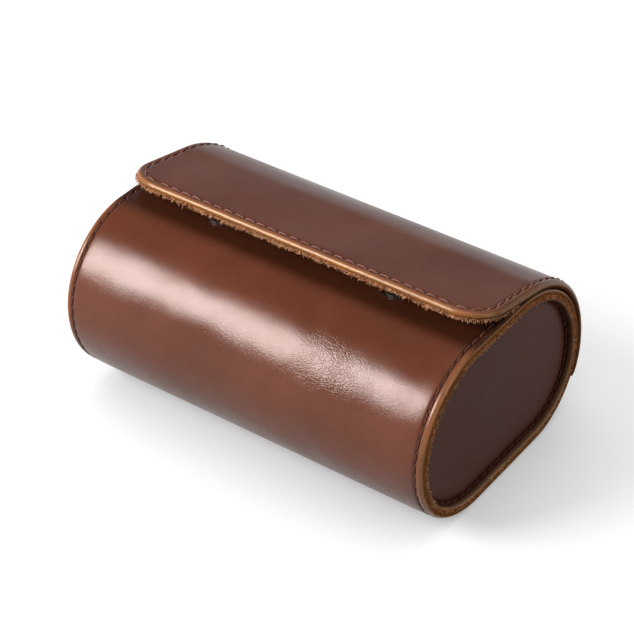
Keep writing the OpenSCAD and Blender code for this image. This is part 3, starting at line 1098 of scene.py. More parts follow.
@dataclass(frozen=True)
class Finishes:
    """Every finish of the case, made once."""

    body: Material
    flap: Material
    cap: Material
    lining: Material
    pillow: Material
    fibre: Material
    pale_fibre: Material
    seam_thread: Material
    flap_thread: Material
    board: Material
    steel: Material
    magnet: Material

    @classmethod
    def made(cls) -> "Finishes":
        """Builds them all."""
        return cls(
            body=WaxedLeather(
                "body_leather_waxed", (0.124, 0.034, 0.0145), crackled=(0.027, -0.0407, 0.0515)
            ).material(),
            flap=WaxedLeather(
                "flap_leather_waxed",
                (0.15, 0.0415, 0.0195),
                undulation=0.0008,
                burnished=0.24,
                rubbed_and_highlight=(0.43, 0.19, 0.078),
                edge=(0.31, 0.11, 0.027),
                creases=0.3,
                seed=0.31,
            ).material(),
            # The cap's leather is written darker than the body's: painted shade, matched to the right end,
            # which faces away from the front lamp.
            cap=WaxedLeather(
                "cap_leather_waxed",
                (0.105, 0.029, 0.0155),
                rubbed_and_highlight=(0.62, 0.36, 0.2),
                edge=(0.68, 0.25, 0.08),
                gloss=0.4,
                shine=0.14,
                undulation=0.0006,
                creases=0.3,
                seed=0.17,
            ).material(),
            lining=Suede("lining_suede", (0.42, 0.21, 0.085)).material(),
            pillow=Suede("pillow_suede", (0.5, 0.31, 0.17), nap=0.8).material(),
            fibre=FrayedFibre("frayed_fibre").material(),
            pale_fibre=FrayedFibre("pale_fibre", (0.62, 0.2, 0.06), (1.0, 0.78, 0.52)).material(),
            seam_thread=WaxedThread("seam_thread", (0.045, 0.014, 0.01), (0.2, 0.075, 0.045)).material(),
            flap_thread=WaxedThread("flap_thread", (0.14, 0.048, 0.034), (0.4, 0.2, 0.16)).material(),
            board=PressedBoard("pressed_board").material(),
            steel=PlatedSteel("plated_steel").material(),
            magnet=Ferrite("ferrite").material(),
        )


# Thread and fibres


@dataclass(frozen=True)
class StitchMaker:
    """Makes rows of stitches of twisted thread, each dipping into its holes.

    Attributes:
        length: A stitch's length from hole to hole.
        thickness: The thread's thickness.
        sides: Points round the thread.
        rings: Rings of points along a stitch.
        twists: Half turns of the ply on each side of the middle.
    """

    length: float = 2.8
    thickness: float = 0.6
    sides: int = 10
    rings: int = 9
    twists: float = 1.6

    def row(self, places: Array, along: Array, up: Array, seed: int, sink: float = 0.0) -> Form:
        """Stitches at given places.

        Args:
            places: The foot of each stitch on the leather, of shape (stitches, 3).
            along: The direction that each runs in.
            up: The leather's normal at each.
            seed: Which small irregularities they have.
            sink: How deep the stitch lies in the leather.

        Returns:
            The form, with the mark ply.
        """
        rng = np.random.default_rng(seed)
        count = len(places)
        along = along / np.linalg.norm(along, axis=1, keepdims=True)
        up = up / np.linalg.norm(up, axis=1, keepdims=True)
        side = np.cross(up, along)
        skew = np.radians(rng.normal(0, 2.0, count))[:, None]
        along = along * np.cos(skew) + side * np.sin(skew)
        side = np.cross(up, along)
        reach = self.length / 2 * (1 + rng.normal(0, 0.025, count))
        t = np.linspace(-1, 1, self.rings)
        shape = np.clip(1 - np.abs(t) ** 5, 0, 1)
        radius = self.thickness / 2 * (0.55 + 0.45 * np.clip(1.25 - np.abs(t) ** 6, 0, 1))
        lift = self.thickness / 2 - sink - (1 - shape) * self.thickness * 0.95
        angle = np.linspace(0, 2 * np.pi, self.sides, endpoint=False)
        turn = angle[None, :] + self.twists * np.pi * t[:, None]
        wave = np.abs(np.cos(turn))
        girth = radius[:, None] * (0.84 + 0.16 * wave)
        a = girth * np.cos(angle)
        b = girth * np.sin(angle) + lift[:, None]
        grid = (
            places[:, None, None]
            + along[:, None, None] * (t[None, :, None, None] * reach[:, None, None, None])
            + side[:, None, None] * a[None, :, :, None]
            + up[:, None, None] * b[None, :, :, None]
        )
        size = self.rings * self.sides
        shifts = np.arange(count) * size
        one = wound_quads(self.rings, self.sides)[:, ::-1]
        body = (one[None] + shifts[:, None, None]).reshape(-1, 4)
        faces = [tuple(face) for face in body.tolist()]
        foot = np.arange(self.sides)
        for shift in shifts:
            faces.append(tuple((foot + shift).tolist()))
            faces.append(tuple((foot[::-1] + shift + size - self.sides).tolist()))
        return Form(grid.reshape(-1, 3), faces, {"ply": np.tile(wave.ravel(), count)})


@dataclass(frozen=True)
class FibreMaker:
    """Makes frayed fibres: thin three-sided hairs, each with a curl of its own."""

    thickness: float = 0.05
    steps: int = 3

    def strands(
        self, roots: Array, ways: Array, lengths: Array, seed: int, droop: Array | None = None
    ) -> Form:
        """Fibres from their roots.

        Args:
            roots: Where each starts, of shape (fibres, 3).
            ways: Its direction there.
            lengths: Its length.
            seed: Which curls they have.
            droop: A direction that each bends towards.

        Returns:
            The form, with the marks tip, 0 at the root and 1 at the tip, and tone, one value a fibre.
        """
        rng = np.random.default_rng(seed)
        count = len(roots)
        ways = ways / np.linalg.norm(ways, axis=1, keepdims=True)
        curl = rng.normal(0, 0.55, (count, 3)) + (droop if droop is not None else 0)
        across = np.cross(ways, rng.normal(0, 1, (count, 3)))
        across /= np.linalg.norm(across, axis=1, keepdims=True)
        third = np.cross(ways, across)
        girth = self.thickness * rng.uniform(0.7, 1.5, count) / 2
        points, tips = [], []
        for k in range(self.steps):
            share = k / self.steps
            centre = roots + lengths[:, None] * (ways * share + curl * share**2 * 0.5)
            for i in range(3):
                turn = 2 * math.pi * i / 3
                arm = across * math.cos(turn) + third * math.sin(turn)
                points.append(centre + arm * (girth * (1 - 0.5 * share))[:, None])
                tips.append(np.full(count, share))
        points.append(roots + lengths[:, None] * (ways + curl * 0.5))
        tips.append(np.ones(count))
        stack = np.stack(points, 1)
        size = stack.shape[1]
        last = 3 * (self.steps - 1)
        one = wound_quads(self.steps, 3).tolist()
        one += [(last + i, last + (i + 1) % 3, size - 1) for i in range(3)]
        shifts = range(0, count * size, size)
        faces = [tuple(i + shift for i in face) for shift in shifts for face in one]
        tone = np.repeat(rng.uniform(0, 1, count), size)
        return Form(stack.reshape(-1, 3), faces, {"tip": np.stack(tips, 1).ravel(), "tone": tone})


# Sub-assemblies


@dataclass
class Assembly:
    """What every sub-assembly shares: the sizes, the outline, the finishes and its pieces."""

    sizes: CaseSizes
    outline: CaseOutline
    finishes: Finishes
    pieces: list[bpy.types.Object] = field(default_factory=list)

    def lay(
        self, name: str, form: Form, finish: Material, body: Body, slot: str, *nodes: str
    ) -> bpy.types.Object:
        """Makes a piece from a form and seats it."""
        return self.seat(make_piece(name, form, finish), body, slot, *nodes)

    def seat(self, piece: bpy.types.Object, body: Body, slot: str, *nodes: str) -> bpy.types.Object:
        """Puts a piece on its body in place of CAD nodes.

        Args:
            piece: The piece, in its place.
            body: The body that it rides on.
            slot: The record's material slot that it belongs to; not used.
            nodes: The CAD nodes that it stands for.

        Returns:
            The piece.
        """
        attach(piece, body.value)
        self.keep(piece, slot, *nodes)
        return piece

    def keep(self, piece: bpy.types.Object, slot: str, *nodes: str) -> None:
        """Hides the CAD nodes that a piece stands for, and lists the piece."""
        if nodes:
            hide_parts(*nodes)
        self.pieces.append(piece)

    def holes(self, places: Array, along: Array) -> Array:
        """The holes that a row's stitches go into, half a pitch past each stitch's middle."""
        step = along / np.linalg.norm(along, axis=1, keepdims=True) * self.sizes.stitch_pitch / 2
        return np.concatenate([places - step, places + step])


def nearness(points: Array, holes: Array, reach: float) -> Array:
    """How near each point lies to the nearest hole, 1 at it and 0 well past reach."""
    flat = points.reshape(-1, 3)
    best = np.full(len(flat), 1e9)
    for start in range(0, len(flat), 4000):
        part = flat[start : start + 4000]
        gap = ((part[:, None] - holes[None]) ** 2).sum(-1)
        best[start : start + 4000] = gap.min(1)
    return np.exp(-best / reach**2).reshape(points.shape[:-1])


def mirrored_offsets(offsets: Array, half: float, inner: int) -> Array:
    """Places along X from one end to the other: fine near the ends, even in between.

    Args:
        offsets: Distances from the end, smallest first.
        half: Half of the whole length.
        inner: Steps between the two innermost offsets.

    Returns:
        The places, lowest first.
    """
    edge = half - offsets
    middle = np.linspace(-edge[-1], edge[-1], inner + 1)[1:-1]
    return np.concatenate([-edge, middle, edge[::-1]])


@dataclass
class BodyWrap(Assembly):
    """The leather round the case, with its mouth, its two pinched seams and their thread.

    Attributes:
        pitch: Distance between the rows of points round the case.
        edge: How far the rounded cut edge stands past the grid.
        groove: Depth of the groove that the seam lies in.
        groove_w: Half width of that groove.
        hole_r: Reach of the dip round a stitch's hole.
        shoulder: How far the seam draws the leather in beside the groove.
        rounding: How far the face falls away at the ends.
        lip: How far it falls away at the mouth.
        swell: Height of the wide unevenness.
        edge_offsets: Columns of points over the rounding, from an end.
        seam_offsets: Columns over the groove.
        face_offsets: Columns from the groove to where the even ones start.
        columns: Even steps between the innermost of those.
        seam_zone: How far from an end a hole's dip is looked for.
        flap_shadow_from_y: Where the painted shadow under the flap starts, near its front edge.
        flap_shadow_fade: Over what distance that painted shadow deepens.
        flap_shadow_above_z: Above what height it is painted.
        snap_x: Place of a snap's socket along the case.
        snap_y: Its place from front to back.
        snap_d: Width of its pocket.
        snap_sunk: Depth of its pocket.
    """

    pitch: float = 0.72
    edge: float = 0.5
    groove: float = 0.46
    groove_w: float = 0.44
    hole_r: float = 0.62
    shoulder: float = 0.26
    rounding: float = 0.42
    lip: float = 0.3
    swell: float = 0.09
    edge_offsets: tuple[float, ...] = (0.5, 0.62, 0.8, 1.0, 1.25, 1.55, 1.8)
    seam_offsets: tuple[float, ...] = (2.0, 2.15, 2.3, 2.45, 2.6, 2.75, 2.9, 3.05, 3.2)
    face_offsets: tuple[float, ...] = (3.4, 3.7, 4.1, 4.7, 5.4, 6.2, 7.0)
    columns: int = 26
    seam_zone: float = 4.5
    flap_shadow_from_y: float = -24.5
    flap_shadow_fade: float = 6.5
    flap_shadow_above_z: float = 45.0
    snap_x: float = 32.0
    snap_y: float = -10.15
    snap_d: float = 7.0
    snap_sunk: float = 1.0

    def seam(self, outside: bool) -> Rows:
        """The right seam's stitches outside or inside: their places, directions and normals."""
        s = self.sizes
        depth = s.thread_t if outside else s.leather_t + s.cap_t
        count = int(self.outline.total(depth) // s.stitch_pitch)
        lift = 0.0 if outside else (s.stitch_l / 2) ** 2 / (s.back_bottom_r - depth)
        places, along, up = [], [], []
        for k in range(count):
            place, normal = self.outline.at((k + 0.5) * self.outline.total(depth) / count, depth)
            face = unit(normal) * (1 if outside else -1)
            place = place + face * lift
            places.append([s.half_l - s.stitch_inset, *place])
            along.append([0, face[1], -face[0]])
            up.append([0, *face])
        return np.array(places), np.array(along), np.array(up)

    def form(self) -> Form:
        """The wrap as one sheet."""
        s = self.sizes
        back_z, front_y = s.mouth_back_z - self.edge, s.mouth_front_y - self.edge
        strip = self.outline.strip(back_z, front_y, self.pitch)
        ring = strip.joined(self.outline.closing(back_z, front_y, self.pitch)).opened()
        open_to = len(strip.base) - 1
        offsets = np.array(self.edge_offsets + self.seam_offsets + self.face_offsets)
        xs = mirrored_offsets(offsets, s.half_l, self.columns)
        middle = (xs[:-1] + xs[1:]) / 2
        keep = np.ones((len(ring.base), len(middle)), bool)
        keep[open_to:] = np.abs(middle) > s.mouth_half_l + self.edge
        far = s.half_l - np.abs(xs)[None]
        flat = drawn_out(ring, xs, np.zeros((len(ring.base), len(xs))))
        places, along, _ = self.seam(True)
        holes = self.holes(places, along)
        holes = np.concatenate([holes, holes * np.array([-1, 1, 1])])
        hole = np.zeros(flat.shape[:2])
        columns = np.flatnonzero(far[0] < self.seam_zone)
        hole[:, columns] = nearness(flat[:, columns], holes, self.hole_r)
        line = bell(far - s.stitch_inset, self.groove_w)
        shoulder = np.where(
            far > s.stitch_inset,
            self.shoulder * np.exp(-np.clip(far - s.stitch_inset, 0, None) / 1.5),
            self.shoulder - 0.1 * np.clip(s.stitch_inset - far, 0, 1.6) / 1.6,
        )
        corner = self.rounding * rounded(far, 1.45, 0.95)
        on_strip = np.zeros(len(ring.base))
        length = strip.along[-1]
        on_strip[: open_to + 1] = np.minimum(strip.along, length - strip.along)
        from_mouth = np.where(np.abs(xs)[None] < s.mouth_half_l + 1.2, on_strip[:, None], 99.0)
        lip = self.lip * rounded(from_mouth, 1.2, 1.2)
        swell = ripple(ring.along, 4, 46, 88)[:, None] * ripple(xs, 5, 52, 90)[None]
        swell = self.swell * swell * np.clip((far - 4) / 10, 0, 1)
        depth = self.groove * line * (0.7 + 0.5 * hole) + shoulder + corner + lip - swell + 0.02
        outer = drawn_out(ring, xs, depth)
        inner = drawn_out(ring, xs, np.full(depth.shape, s.leather_t - 0.02))
        # The mark rub: paler worn leather and a painted highlight along the cut ends and the mouth's edges.
        rub = bell(far - 0.5, 0.5) + 0.3 * bell(far - 1.4, 0.7)
        rub = np.maximum(rub, 0.9 * bell(from_mouth, 0.9))
        # Painted shadow under the flap: the top darkens from near the flap's front edge backwards.
        under = np.clip((flat[..., 1] - self.flap_shadow_from_y) / self.flap_shadow_fade, 0, 1)
        under = under * (flat[..., 2] > self.flap_shadow_above_z)
        flap_shadow = 0.8 * under * under * (3 - 2 * under)
        marks = {
            "rub": np.broadcast_to(np.clip(rub, 0, 1), depth.shape).copy(),
            # Painted shade in the seam's groove and round its holes, and the painted shadow under the flap.
            "sunk": np.clip(0.65 * line + 1.1 * hole * line + flap_shadow, 0, 1),
        }
        return sheet_form(outer, inner, keep, True, self.edge, marks)

    def bored(self, piece: bpy.types.Object) -> None:
        """Cuts the two round pockets that the snaps' sockets are let into."""
        s = self.sizes
        turns = np.linspace(0, 2 * np.pi, 56, endpoint=False)
        circle = self.snap_d / 2 * np.stack([np.cos(turns), np.sin(turns)], -1)
        cutter = None
        for x in (-self.snap_x, self.snap_x):
            ring = np.array([x, self.snap_y]) + circle
            heights = (s.height - self.snap_sunk, s.height + 1.5)
            rings = [np.column_stack([ring, np.full(len(ring), height)]) for height in heights]
            made = loft_form(np.stack(rings))
            cutter = made if cutter is None else cutter.add(made)
        tool = make_piece("socket_pocket_tool", cutter, self.finishes.body, smooth=False)
        cut = piece.modifiers.new("pockets", "BOOLEAN")
        cut.operation = "DIFFERENCE"
        cut.solver = "EXACT"
        cut.object = tool
        bpy.context.view_layer.update()
        piece.data = baked(piece)
        bpy.data.objects.remove(tool)

    def build(self) -> None:
        """Makes the wrap and the thread of both seams and of the mouth's front edge."""
        s = self.sizes
        wrap = make_piece("body_wrap", self.form(), self.finishes.body)
        self.bored(wrap)
        self.seat(wrap, Body.CASE, "body_leather", "body_leather")
        thread = StitchMaker(length=3.5, thickness=s.thread_t)
        for end in End:
            outer = thread.row(*self.seam(True), seed=11 + end.value, sink=0.08)
            inner = thread.row(*self.seam(False), seed=21 + end.value, sink=0.1)
            name, node = f"{end.word}_seam_thread", f"{end.word}_seam_stitches"
            both = outer.add(inner).at(end)
            self.lay(name, both, self.finishes.seam_thread, Body.CASE, "thread", node)
        count = int(2 * s.mouth_half_l // s.stitch_pitch)
        row_y = s.mouth_front_y - s.stitch_inset
        places = np.array([[x, row_y, s.height] for x in spaced(count, s.stitch_pitch)])
        along, up = np.tile([1.0, 0, 0], (count, 1)), np.tile([0, 0, 1.0], (count, 1))
        row = thread.row(places, along, up, seed=31, sink=0.12)
        self.lay("mouth_thread", row, self.finishes.flap_thread, Body.CASE, "thread", "mouth_stitches")


@dataclass
class EndCap(Assembly):
    """A recessed end: a formed leather panel whose flange is sewn inside the wrap.

    Attributes:
        pitch: Distance between points round the outline.
        crown: How far the panel's middle stands out.
        fibres_per_mm: Frayed fibres along the flange's raw edge.
        fibre_l: Their usual length.
    """

    pitch: float = 1.1
    crown: float = 0.55
    fibres_per_mm: float = 9.0
    fibre_l: float = 0.42

    def profile(self) -> list[tuple[float, float, float, float, float]]:
        """Depth, X, raw, rub and sunk of each ring of the flange, from the back round to the panel; rub
        brings paler worn leather and a painted highlight, sunk painted shade.
        """
        s = self.sizes
        out, inside = s.leather_t + 0.03, s.leather_t + s.cap_t
        edge, panel = s.half_l, s.half_l - s.rim_depth
        seam = s.half_l - s.stitch_inset
        return [
            (out + 1.5, s.cap_x, 0.8, 0, 0),
            (out + 0.5, s.cap_x + 0.15, 0.9, 0, 0),
            (out + 0.1, s.cap_x + 0.6, 0.9, 0, 0),
            (out, s.cap_x + 1.5, 0.9, 0, 0),
            (out, edge - 0.9, 1, 0, 0),
            (out + 0.02, edge - 0.25, 1, 0, 0),
            (out + 0.18, edge - 0.06, 1, 0, 0),
            (out + 0.5, edge + 0.02, 1, 0, 0),
            (out + 0.95, edge + 0.02, 1, 0, 0),
            # From here the mark rub brings paler worn leather and a painted highlight to the flange's inner
            # corner.
            (out + 1.3, edge - 0.02, 1, 0.5, 0),
            (inside - 0.18, edge - 0.14, 0.35, 1, 0),
            (inside - 0.04, edge - 0.36, 0.1, 1, 0),
            (inside, edge - 0.7, 0, 0.5, 0),
            (inside + 0.02, edge - 1.3, 0, 0.3, 0.0),
            # From here the mark sunk paints shade by the seam and down into the recess.
            (inside + 0.03, seam + 0.75, 0, 0.15, 0.1),
            (inside - 0.06, seam + 0.35, 0, 0, 0.4),
            (inside - 0.1, seam, 0, 0, 0.55),
            (inside - 0.02, seam - 0.3, 0, 0, 0.5),
            (inside + 0.16, panel + 0.12, 0, 0, 0.35),
            (inside + 0.42, panel + 0.0, 0, 0, 0.2),
            (inside + 0.75, panel + 0.12, 0, 0, 0.1),
            (inside + 1.15, panel + 0.38, 0, 0, 0.05),
            (inside + 1.7, panel + 0.66, 0, 0, 0),
            (inside + 2.4, panel + 0.88, 0, 0, 0),
            (inside + 3.4, panel + 1.04, 0, 0, 0),
            (inside + 4.8, panel + 1.14, 0, 0, 0),
        ]

    def form(self) -> Form:
        """The right end cap as a closed solid."""
        s = self.sizes
        ring = self.outline.ring(self.pitch)
        rings, marks = [], {"raw": [], "rub": [], "sunk": [], "flesh": []}

        def put(points: Array, x: float | Array, raw: float, rub: float, sunk: float) -> None:
            """Adds one ring."""
            rings.append(upright(x, points))
            for name, value in zip(marks, (raw, rub, sunk, 0.45 * raw)):
                marks[name].append(value)

        wander = ripple(ring.along, 61, 3.1, 6.3, 17)
        profile = self.profile()
        start = ring.points(profile[0][0])
        middle = start.mean(0)
        for share in (0.02, 0.3, 0.6, 0.85, 0.96):
            put(middle + (start - middle) * share, s.cap_x, 0.6, 0, 0)
        for depth, x, raw, rub, sunk in profile:
            stir = 0.05 * raw * wander if x > s.half_l - 0.3 else 0.0
            put(ring.points(depth), x + stir, raw, rub, sunk)
        last = rings[-1][:, 1:]
        x0 = rings[-1][0, 0]
        for share in (0.985, 0.96, 0.92, 0.86, 0.78, 0.68, 0.56, 0.43, 0.3, 0.16, 0.02):
            put(middle + (last - middle) * share, x0 + self.crown * (1 - share**2), 0, 0, 0)
        return loft_form(np.array(rings), marks)

    def frayed(self) -> Form:
        """Fibres that stand out of the flange's raw edge, on its flesh side."""
        s = self.sizes
        rng = np.random.default_rng(77)
        total = self.outline.total(s.leather_t)
        count = int(total * self.fibres_per_mm)
        roots, ways, across = [], [], []
        for distance in rng.uniform(0, total, count):
            depth = s.leather_t + 0.1 + (s.cap_t - 0.15) * rng.beta(1.7, 1.1)
            place, normal = self.outline.at(distance, depth)
            face = unit(normal)
            roots.append([s.half_l - 0.12, *place])
            ways.append([rng.uniform(0.25, 1.0), *(face * rng.normal(-0.15, 0.5))])
            across.append([0, *(np.array([face[1], -face[0]]) * rng.normal(0, 0.75))])
        lengths = np.clip(rng.lognormal(math.log(self.fibre_l), 0.4, count), 0.15, 0.9)
        ways = np.array(ways) + np.array(across)
        return FibreMaker(thickness=0.11, steps=2).strands(np.array(roots), ways, lengths, 78)

    def build(self) -> None:
        """Makes the caps and their fibres at both ends."""
        form, fibres = self.form(), self.frayed()
        for end in End:
            name, node = f"{end.word}_cap_leather", f"{end.word}_end_cap"
            self.lay(name, form.at(end), self.finishes.cap, Body.CASE, "cap_leather", node)
            name = f"{end.word}_cap_fray"
            self.lay(name, fibres.at(end), self.finishes.pale_fibre, Body.CASE, "suede_lining")


@dataclass
class Linings(Assembly):
    """The suede inside the case: round the wall, on both ends and over the divider."""

    pitch: float = 1.6
    divider_half_t: float = 1.7
    divider_top_z: float = 46.0

    def wall(self) -> Form:
        """The suede round the wall."""
        s = self.sizes
        line = self.outline.strip(s.mouth_back_z - 0.3, s.mouth_front_y - 0.3, self.pitch)
        xs = np.linspace(-s.end_lining_x - 0.75, s.end_lining_x + 0.75, 49)
        swell = 0.07 * ripple(line.along, 41, 9, 21)[:, None] * ripple(xs, 42, 11, 27)[None]
        outer = drawn_out(line, xs, np.full(swell.shape, s.lining_at + 0.02))
        inner = drawn_out(line, xs, s.inside_at - 0.08 + swell)
        keep = np.ones((len(line.base) - 1, len(xs) - 1), bool)
        return sheet_form(outer, inner, keep, False, 0.28)

    def plate(self, ring: Array, xs: list[float], shrink: list[float]) -> Form:
        """A flat piece of suede with softened edges, from its outline.

        Args:
            ring: The outline's (y, z) points.
            xs: Places along X of its rings.
            shrink: How far each ring is drawn in, in millimetres.

        Returns:
            The form.
        """
        middle = ring.mean(0)
        size = np.linalg.norm(ring - middle, axis=1).mean()
        shares = (0.05, 0.4, 0.75, 0.93)
        steps = [(xs[0], share) for share in shares]
        steps += [(x, 1 - drawn / size) for x, drawn in zip(xs, shrink)]
        steps += [(xs[-1], share) for share in reversed(shares)]
        return loft_form(np.array([upright(x, middle + (ring - middle) * share) for x, share in steps]))

    def divider_ring(self) -> Array:
        """The divider's outline, cut off level at the top."""
        ring = self.outline.ring(self.pitch).points(self.sizes.inside_at + 0.1)
        top = self.divider_top_z + 0.35
        below = ring[:, 1] < top
        start = int(np.flatnonzero(below & ~np.roll(below, 1))[0])
        ring = np.roll(ring, -start, 0)
        ring = ring[ring[:, 1] < top]
        across = np.linspace(ring[-1, 0], ring[0, 0], 34)[1:-1]
        return np.concatenate([ring, np.column_stack([across, np.full(len(across), top)])])

    def build(self) -> None:
        """Makes the linings."""
        s = self.sizes
        suede = self.finishes.lining
        self.lay("wall_suede", self.wall(), suede, Body.CASE, "suede_lining", "body_lining")
        ring = self.outline.ring(self.pitch).points(s.inside_at)
        x = s.end_lining_x
        plate = self.plate(ring, [x, x + 0.06, x + 0.3, x + 0.7, x + s.lining_t], [0.5, 0.15, 0.0, 0.0, 0.3])
        for end in End:
            name, node = f"{end.word}_end_suede", f"{end.word}_end_lining"
            self.lay(name, plate.at(end), suede, Body.CASE, "suede_lining", node)
        t = self.divider_half_t
        divider = self.plate(
            self.divider_ring(),
            [-t, -t + 0.12, -t + 0.5, -0.6, 0.6, t - 0.5, t - 0.12, t],
            [0.75, 0.3, 0.05, 0, 0, 0.05, 0.3, 0.75],
        )
        nodes = ("divider_right_suede", "divider_left_suede")
        self.lay("divider_suede", divider, suede, Body.CASE, "suede_lining", *nodes)


@dataclass
class Flap(Assembly):
    """The flap: one piece of leather from its front edge to its sewn end, and its suede.

    Attributes:
        gap: Space between the flap's curve and the body.
        bend_end: Angle, up from the back, at which the curve goes over into the flat part.
        front: How far the flat part goes on past the snaps.
        corner_r: Radius of the front corners.
        lining_t: Thickness of board and suede under the leather.
        lining_from: Angle, up from the back, at which the suede starts.
        lining_half_l: Half of its length between the caps' rims.
        strip_low_z: Height of the sewn end's lower edge.
        strip_top_z: Height at which the sewn end goes over into the flap.
        row_gap: Distance between the two rows of the sewn end.
        snap_y: Place of the snaps from front to back.
        post_drop: How far their posts hang below the suede.
        edge: How far the rounded cut edge stands past the grid.
        pitch: Distance between the rows of points.
        fibres_per_mm: Frayed fibres along the front edge.
        bend_low_z: Height below which the leather is to stay with the case; not used.
        bend_high_z: Height above which it is to go with the flap; not used.
        hole_r: Reach of the dip round a stitch's hole.
        row_w: Half width of the furrow that a row lies in.
        rounding: How far the face falls away at the cut edge.
        skived: How much thinner the sewn end's edge is.
        skived_l: Over what length.
        swell: Height of the wide unevenness.
        edge_offsets: Columns of points over the rounding, from the drawn-in side.
        seam_offsets: Columns over the stitches.
        face_offsets: Columns from there to where the even ones start.
        fray_side_l: How far back the fibres go on along each side.
        fray_l: Their usual length.
    """

    gap: float = 0.3
    bend_end: float = 78.5
    front: float = 7.7
    corner_r: float = 11.5
    lining_t: float = 1.6
    lining_from: float = 14.0
    lining_half_l: float = 56.9
    strip_low_z: float = 11.0
    strip_top_z: float = 27.0
    row_gap: float = 3.4
    snap_y: float = -10.15
    post_drop: float = 2.3
    edge: float = 0.55
    pitch: float = 0.75
    fibres_per_mm: float = 16.0
    bend_low_z: float = 17.0
    bend_high_z: float = 27.5
    hole_r: float = 0.6
    row_w: float = 0.5
    rounding: float = 0.48
    skived: float = 0.75
    skived_l: float = 1.6
    swell: float = 0.07
    edge_offsets: tuple[float, ...] = (0, 0.12, 0.3, 0.55, 0.85, 1.2, 1.45)
    seam_offsets: tuple[float, ...] = (1.65, 1.85, 2.05, 2.25, 2.45, 2.7, 3.0)
    face_offsets: tuple[float, ...] = (3.5, 4.3, 5.5, 7.5)
    fray_side_l: float = 9.0
    fray_l: float = 0.5

    @property
    def out_r(self) -> float:
        """Radius of the flap's outer face about the middle of the curve."""
        return self.sizes.back_top_r + self.gap + self.sizes.leather_t

    @property
    def strip_r(self) -> float:
        """Radius of the leather's outer face round the lower back corner."""
        return self.sizes.back_bottom_r + self.gap + self.sizes.leather_t

    @property
    def lean(self) -> float:
        """How far the flat front part rises towards the front, in radians."""
        return math.radians(90 - self.bend_end)

    @property
    def back(self) -> Array:
        """The way back along the flat part."""
        return np.array([0, math.cos(self.lean), -math.sin(self.lean)])

    @property
    def up(self) -> Array:
        """The flat part's outer normal."""
        return np.array([0, *unit(self.bend_end)])

    @property
    def reach(self) -> float:
        """Length of the flat front part."""
        tip = self.sizes.back_top_r + self.gap - self.lining_t - self.post_drop
        lean = self.lean
        back = (self.sizes.back_top_c[0] + tip * math.sin(lean) - self.snap_y) / math.cos(lean)
        return back + self.front

    def flat_points(self, s: Array) -> Array:
        """The (y, z) on the outer face of the flat part at a distance from the front edge."""
        lean = self.lean
        ahead = s - self.reach
        y, z = self.sizes.back_top_c
        return np.stack(
            [
                y + ahead * math.cos(lean) + self.out_r * math.sin(lean),
                z - ahead * math.sin(lean) + self.out_r * math.cos(lean),
            ],
            -1,
        )

    def half_width(self, s: Array, inset: float) -> Array:
        """Half of the flap's length along the case at a distance from the front edge."""
        r = self.corner_r
        inside = np.sqrt(np.clip((r - inset) ** 2 - (r - np.minimum(s, r)) ** 2, 0, None))
        return self.sizes.half_l - r + inside

    def line(self, inset: float, last: float) -> Stations:
        """Stations from the front edge over the curve, down to an angle of the curve.

        Args:
            inset: How far the front edge is drawn in.
            last: The last angle, up from the back.

        Returns:
            The stations, with the distance from the front edge as along.
        """
        r = self.corner_r
        turns = np.radians(np.linspace(0, 90, 19))
        s = r - (r - inset) * np.cos(turns)
        count = int((self.reach - r) / self.pitch)
        s = np.concatenate([s, np.linspace(r, self.reach, count + 1)[1:]])
        flat = Stations(
            self.flat_points(s),
            np.zeros(len(s)),
            np.repeat(unit(self.bend_end)[None], len(s), 0),
            s,
        )
        return flat.joined(arc(self.sizes.back_top_c, self.out_r, self.bend_end, last, self.pitch))

    def from_outline(self, x: Array, s: Array) -> Array:
        """Distance in from the flap's front, rounded corners and sides."""
        half, r = self.sizes.half_l, self.corner_r
        side = half - np.abs(x)
        corner = r - np.hypot(np.abs(x) - (half - r), r - s)
        inside = (np.abs(x) > half - r) & (s < r)
        return np.where(inside, corner, np.minimum(side, s))

    def rows(self) -> Rows:
        """The stitches round the flap: their places, directions and normals."""
        z = self.sizes
        r, half, inset = self.corner_r, z.half_l, z.stitch_inset
        back, up = self.back, self.up
        places, along, ups = [], [], []

        def put(x: float, s: float, way: Array) -> None:
            """Adds a stitch on the flat part."""
            places.append([x, *self.flat_points(np.array(s))])
            along.append(way)
            ups.append(up)

        count = int((2 * half - 2 * r) // z.stitch_pitch)
        for x in spaced(count, z.stitch_pitch):
            put(x, inset, np.array([1.0, 0, 0]))
        side_l = self.reach - r
        sides = int(side_l // z.stitch_pitch)
        corners = int(math.pi / 2 * (r - inset) // z.stitch_pitch)
        curve_from = angle_at(self.strip_top_z, z.back_top_c, z.back_top_r + self.gap)
        curve_l = self.out_r * math.radians(self.bend_end - curve_from)
        curves = int(curve_l // z.stitch_pitch)
        for side in (-1, 1):
            for k in range(sides):
                put(side * (half - inset), self.reach - (k + 0.5) * side_l / sides, back)
            for k in range(corners):
                a = math.radians((k + 0.5) * 90 / corners)
                x = side * (half - r + (r - inset) * math.cos(a))
                way = back * math.cos(a) + np.array([side * math.sin(a), 0, 0])
                put(x, r - (r - inset) * math.sin(a), way)
            for k in range(curves):
                normal = self.bend_end - (k + 0.5) / curves * (self.bend_end - curve_from)
                face = unit(normal)
                places.append([side * (half - inset), *(np.array(z.back_top_c) + self.out_r * face)])
                along.append([0, face[1], -face[0]])
                ups.append([0, *face])
        return np.array(places), np.array(along), np.array(ups)

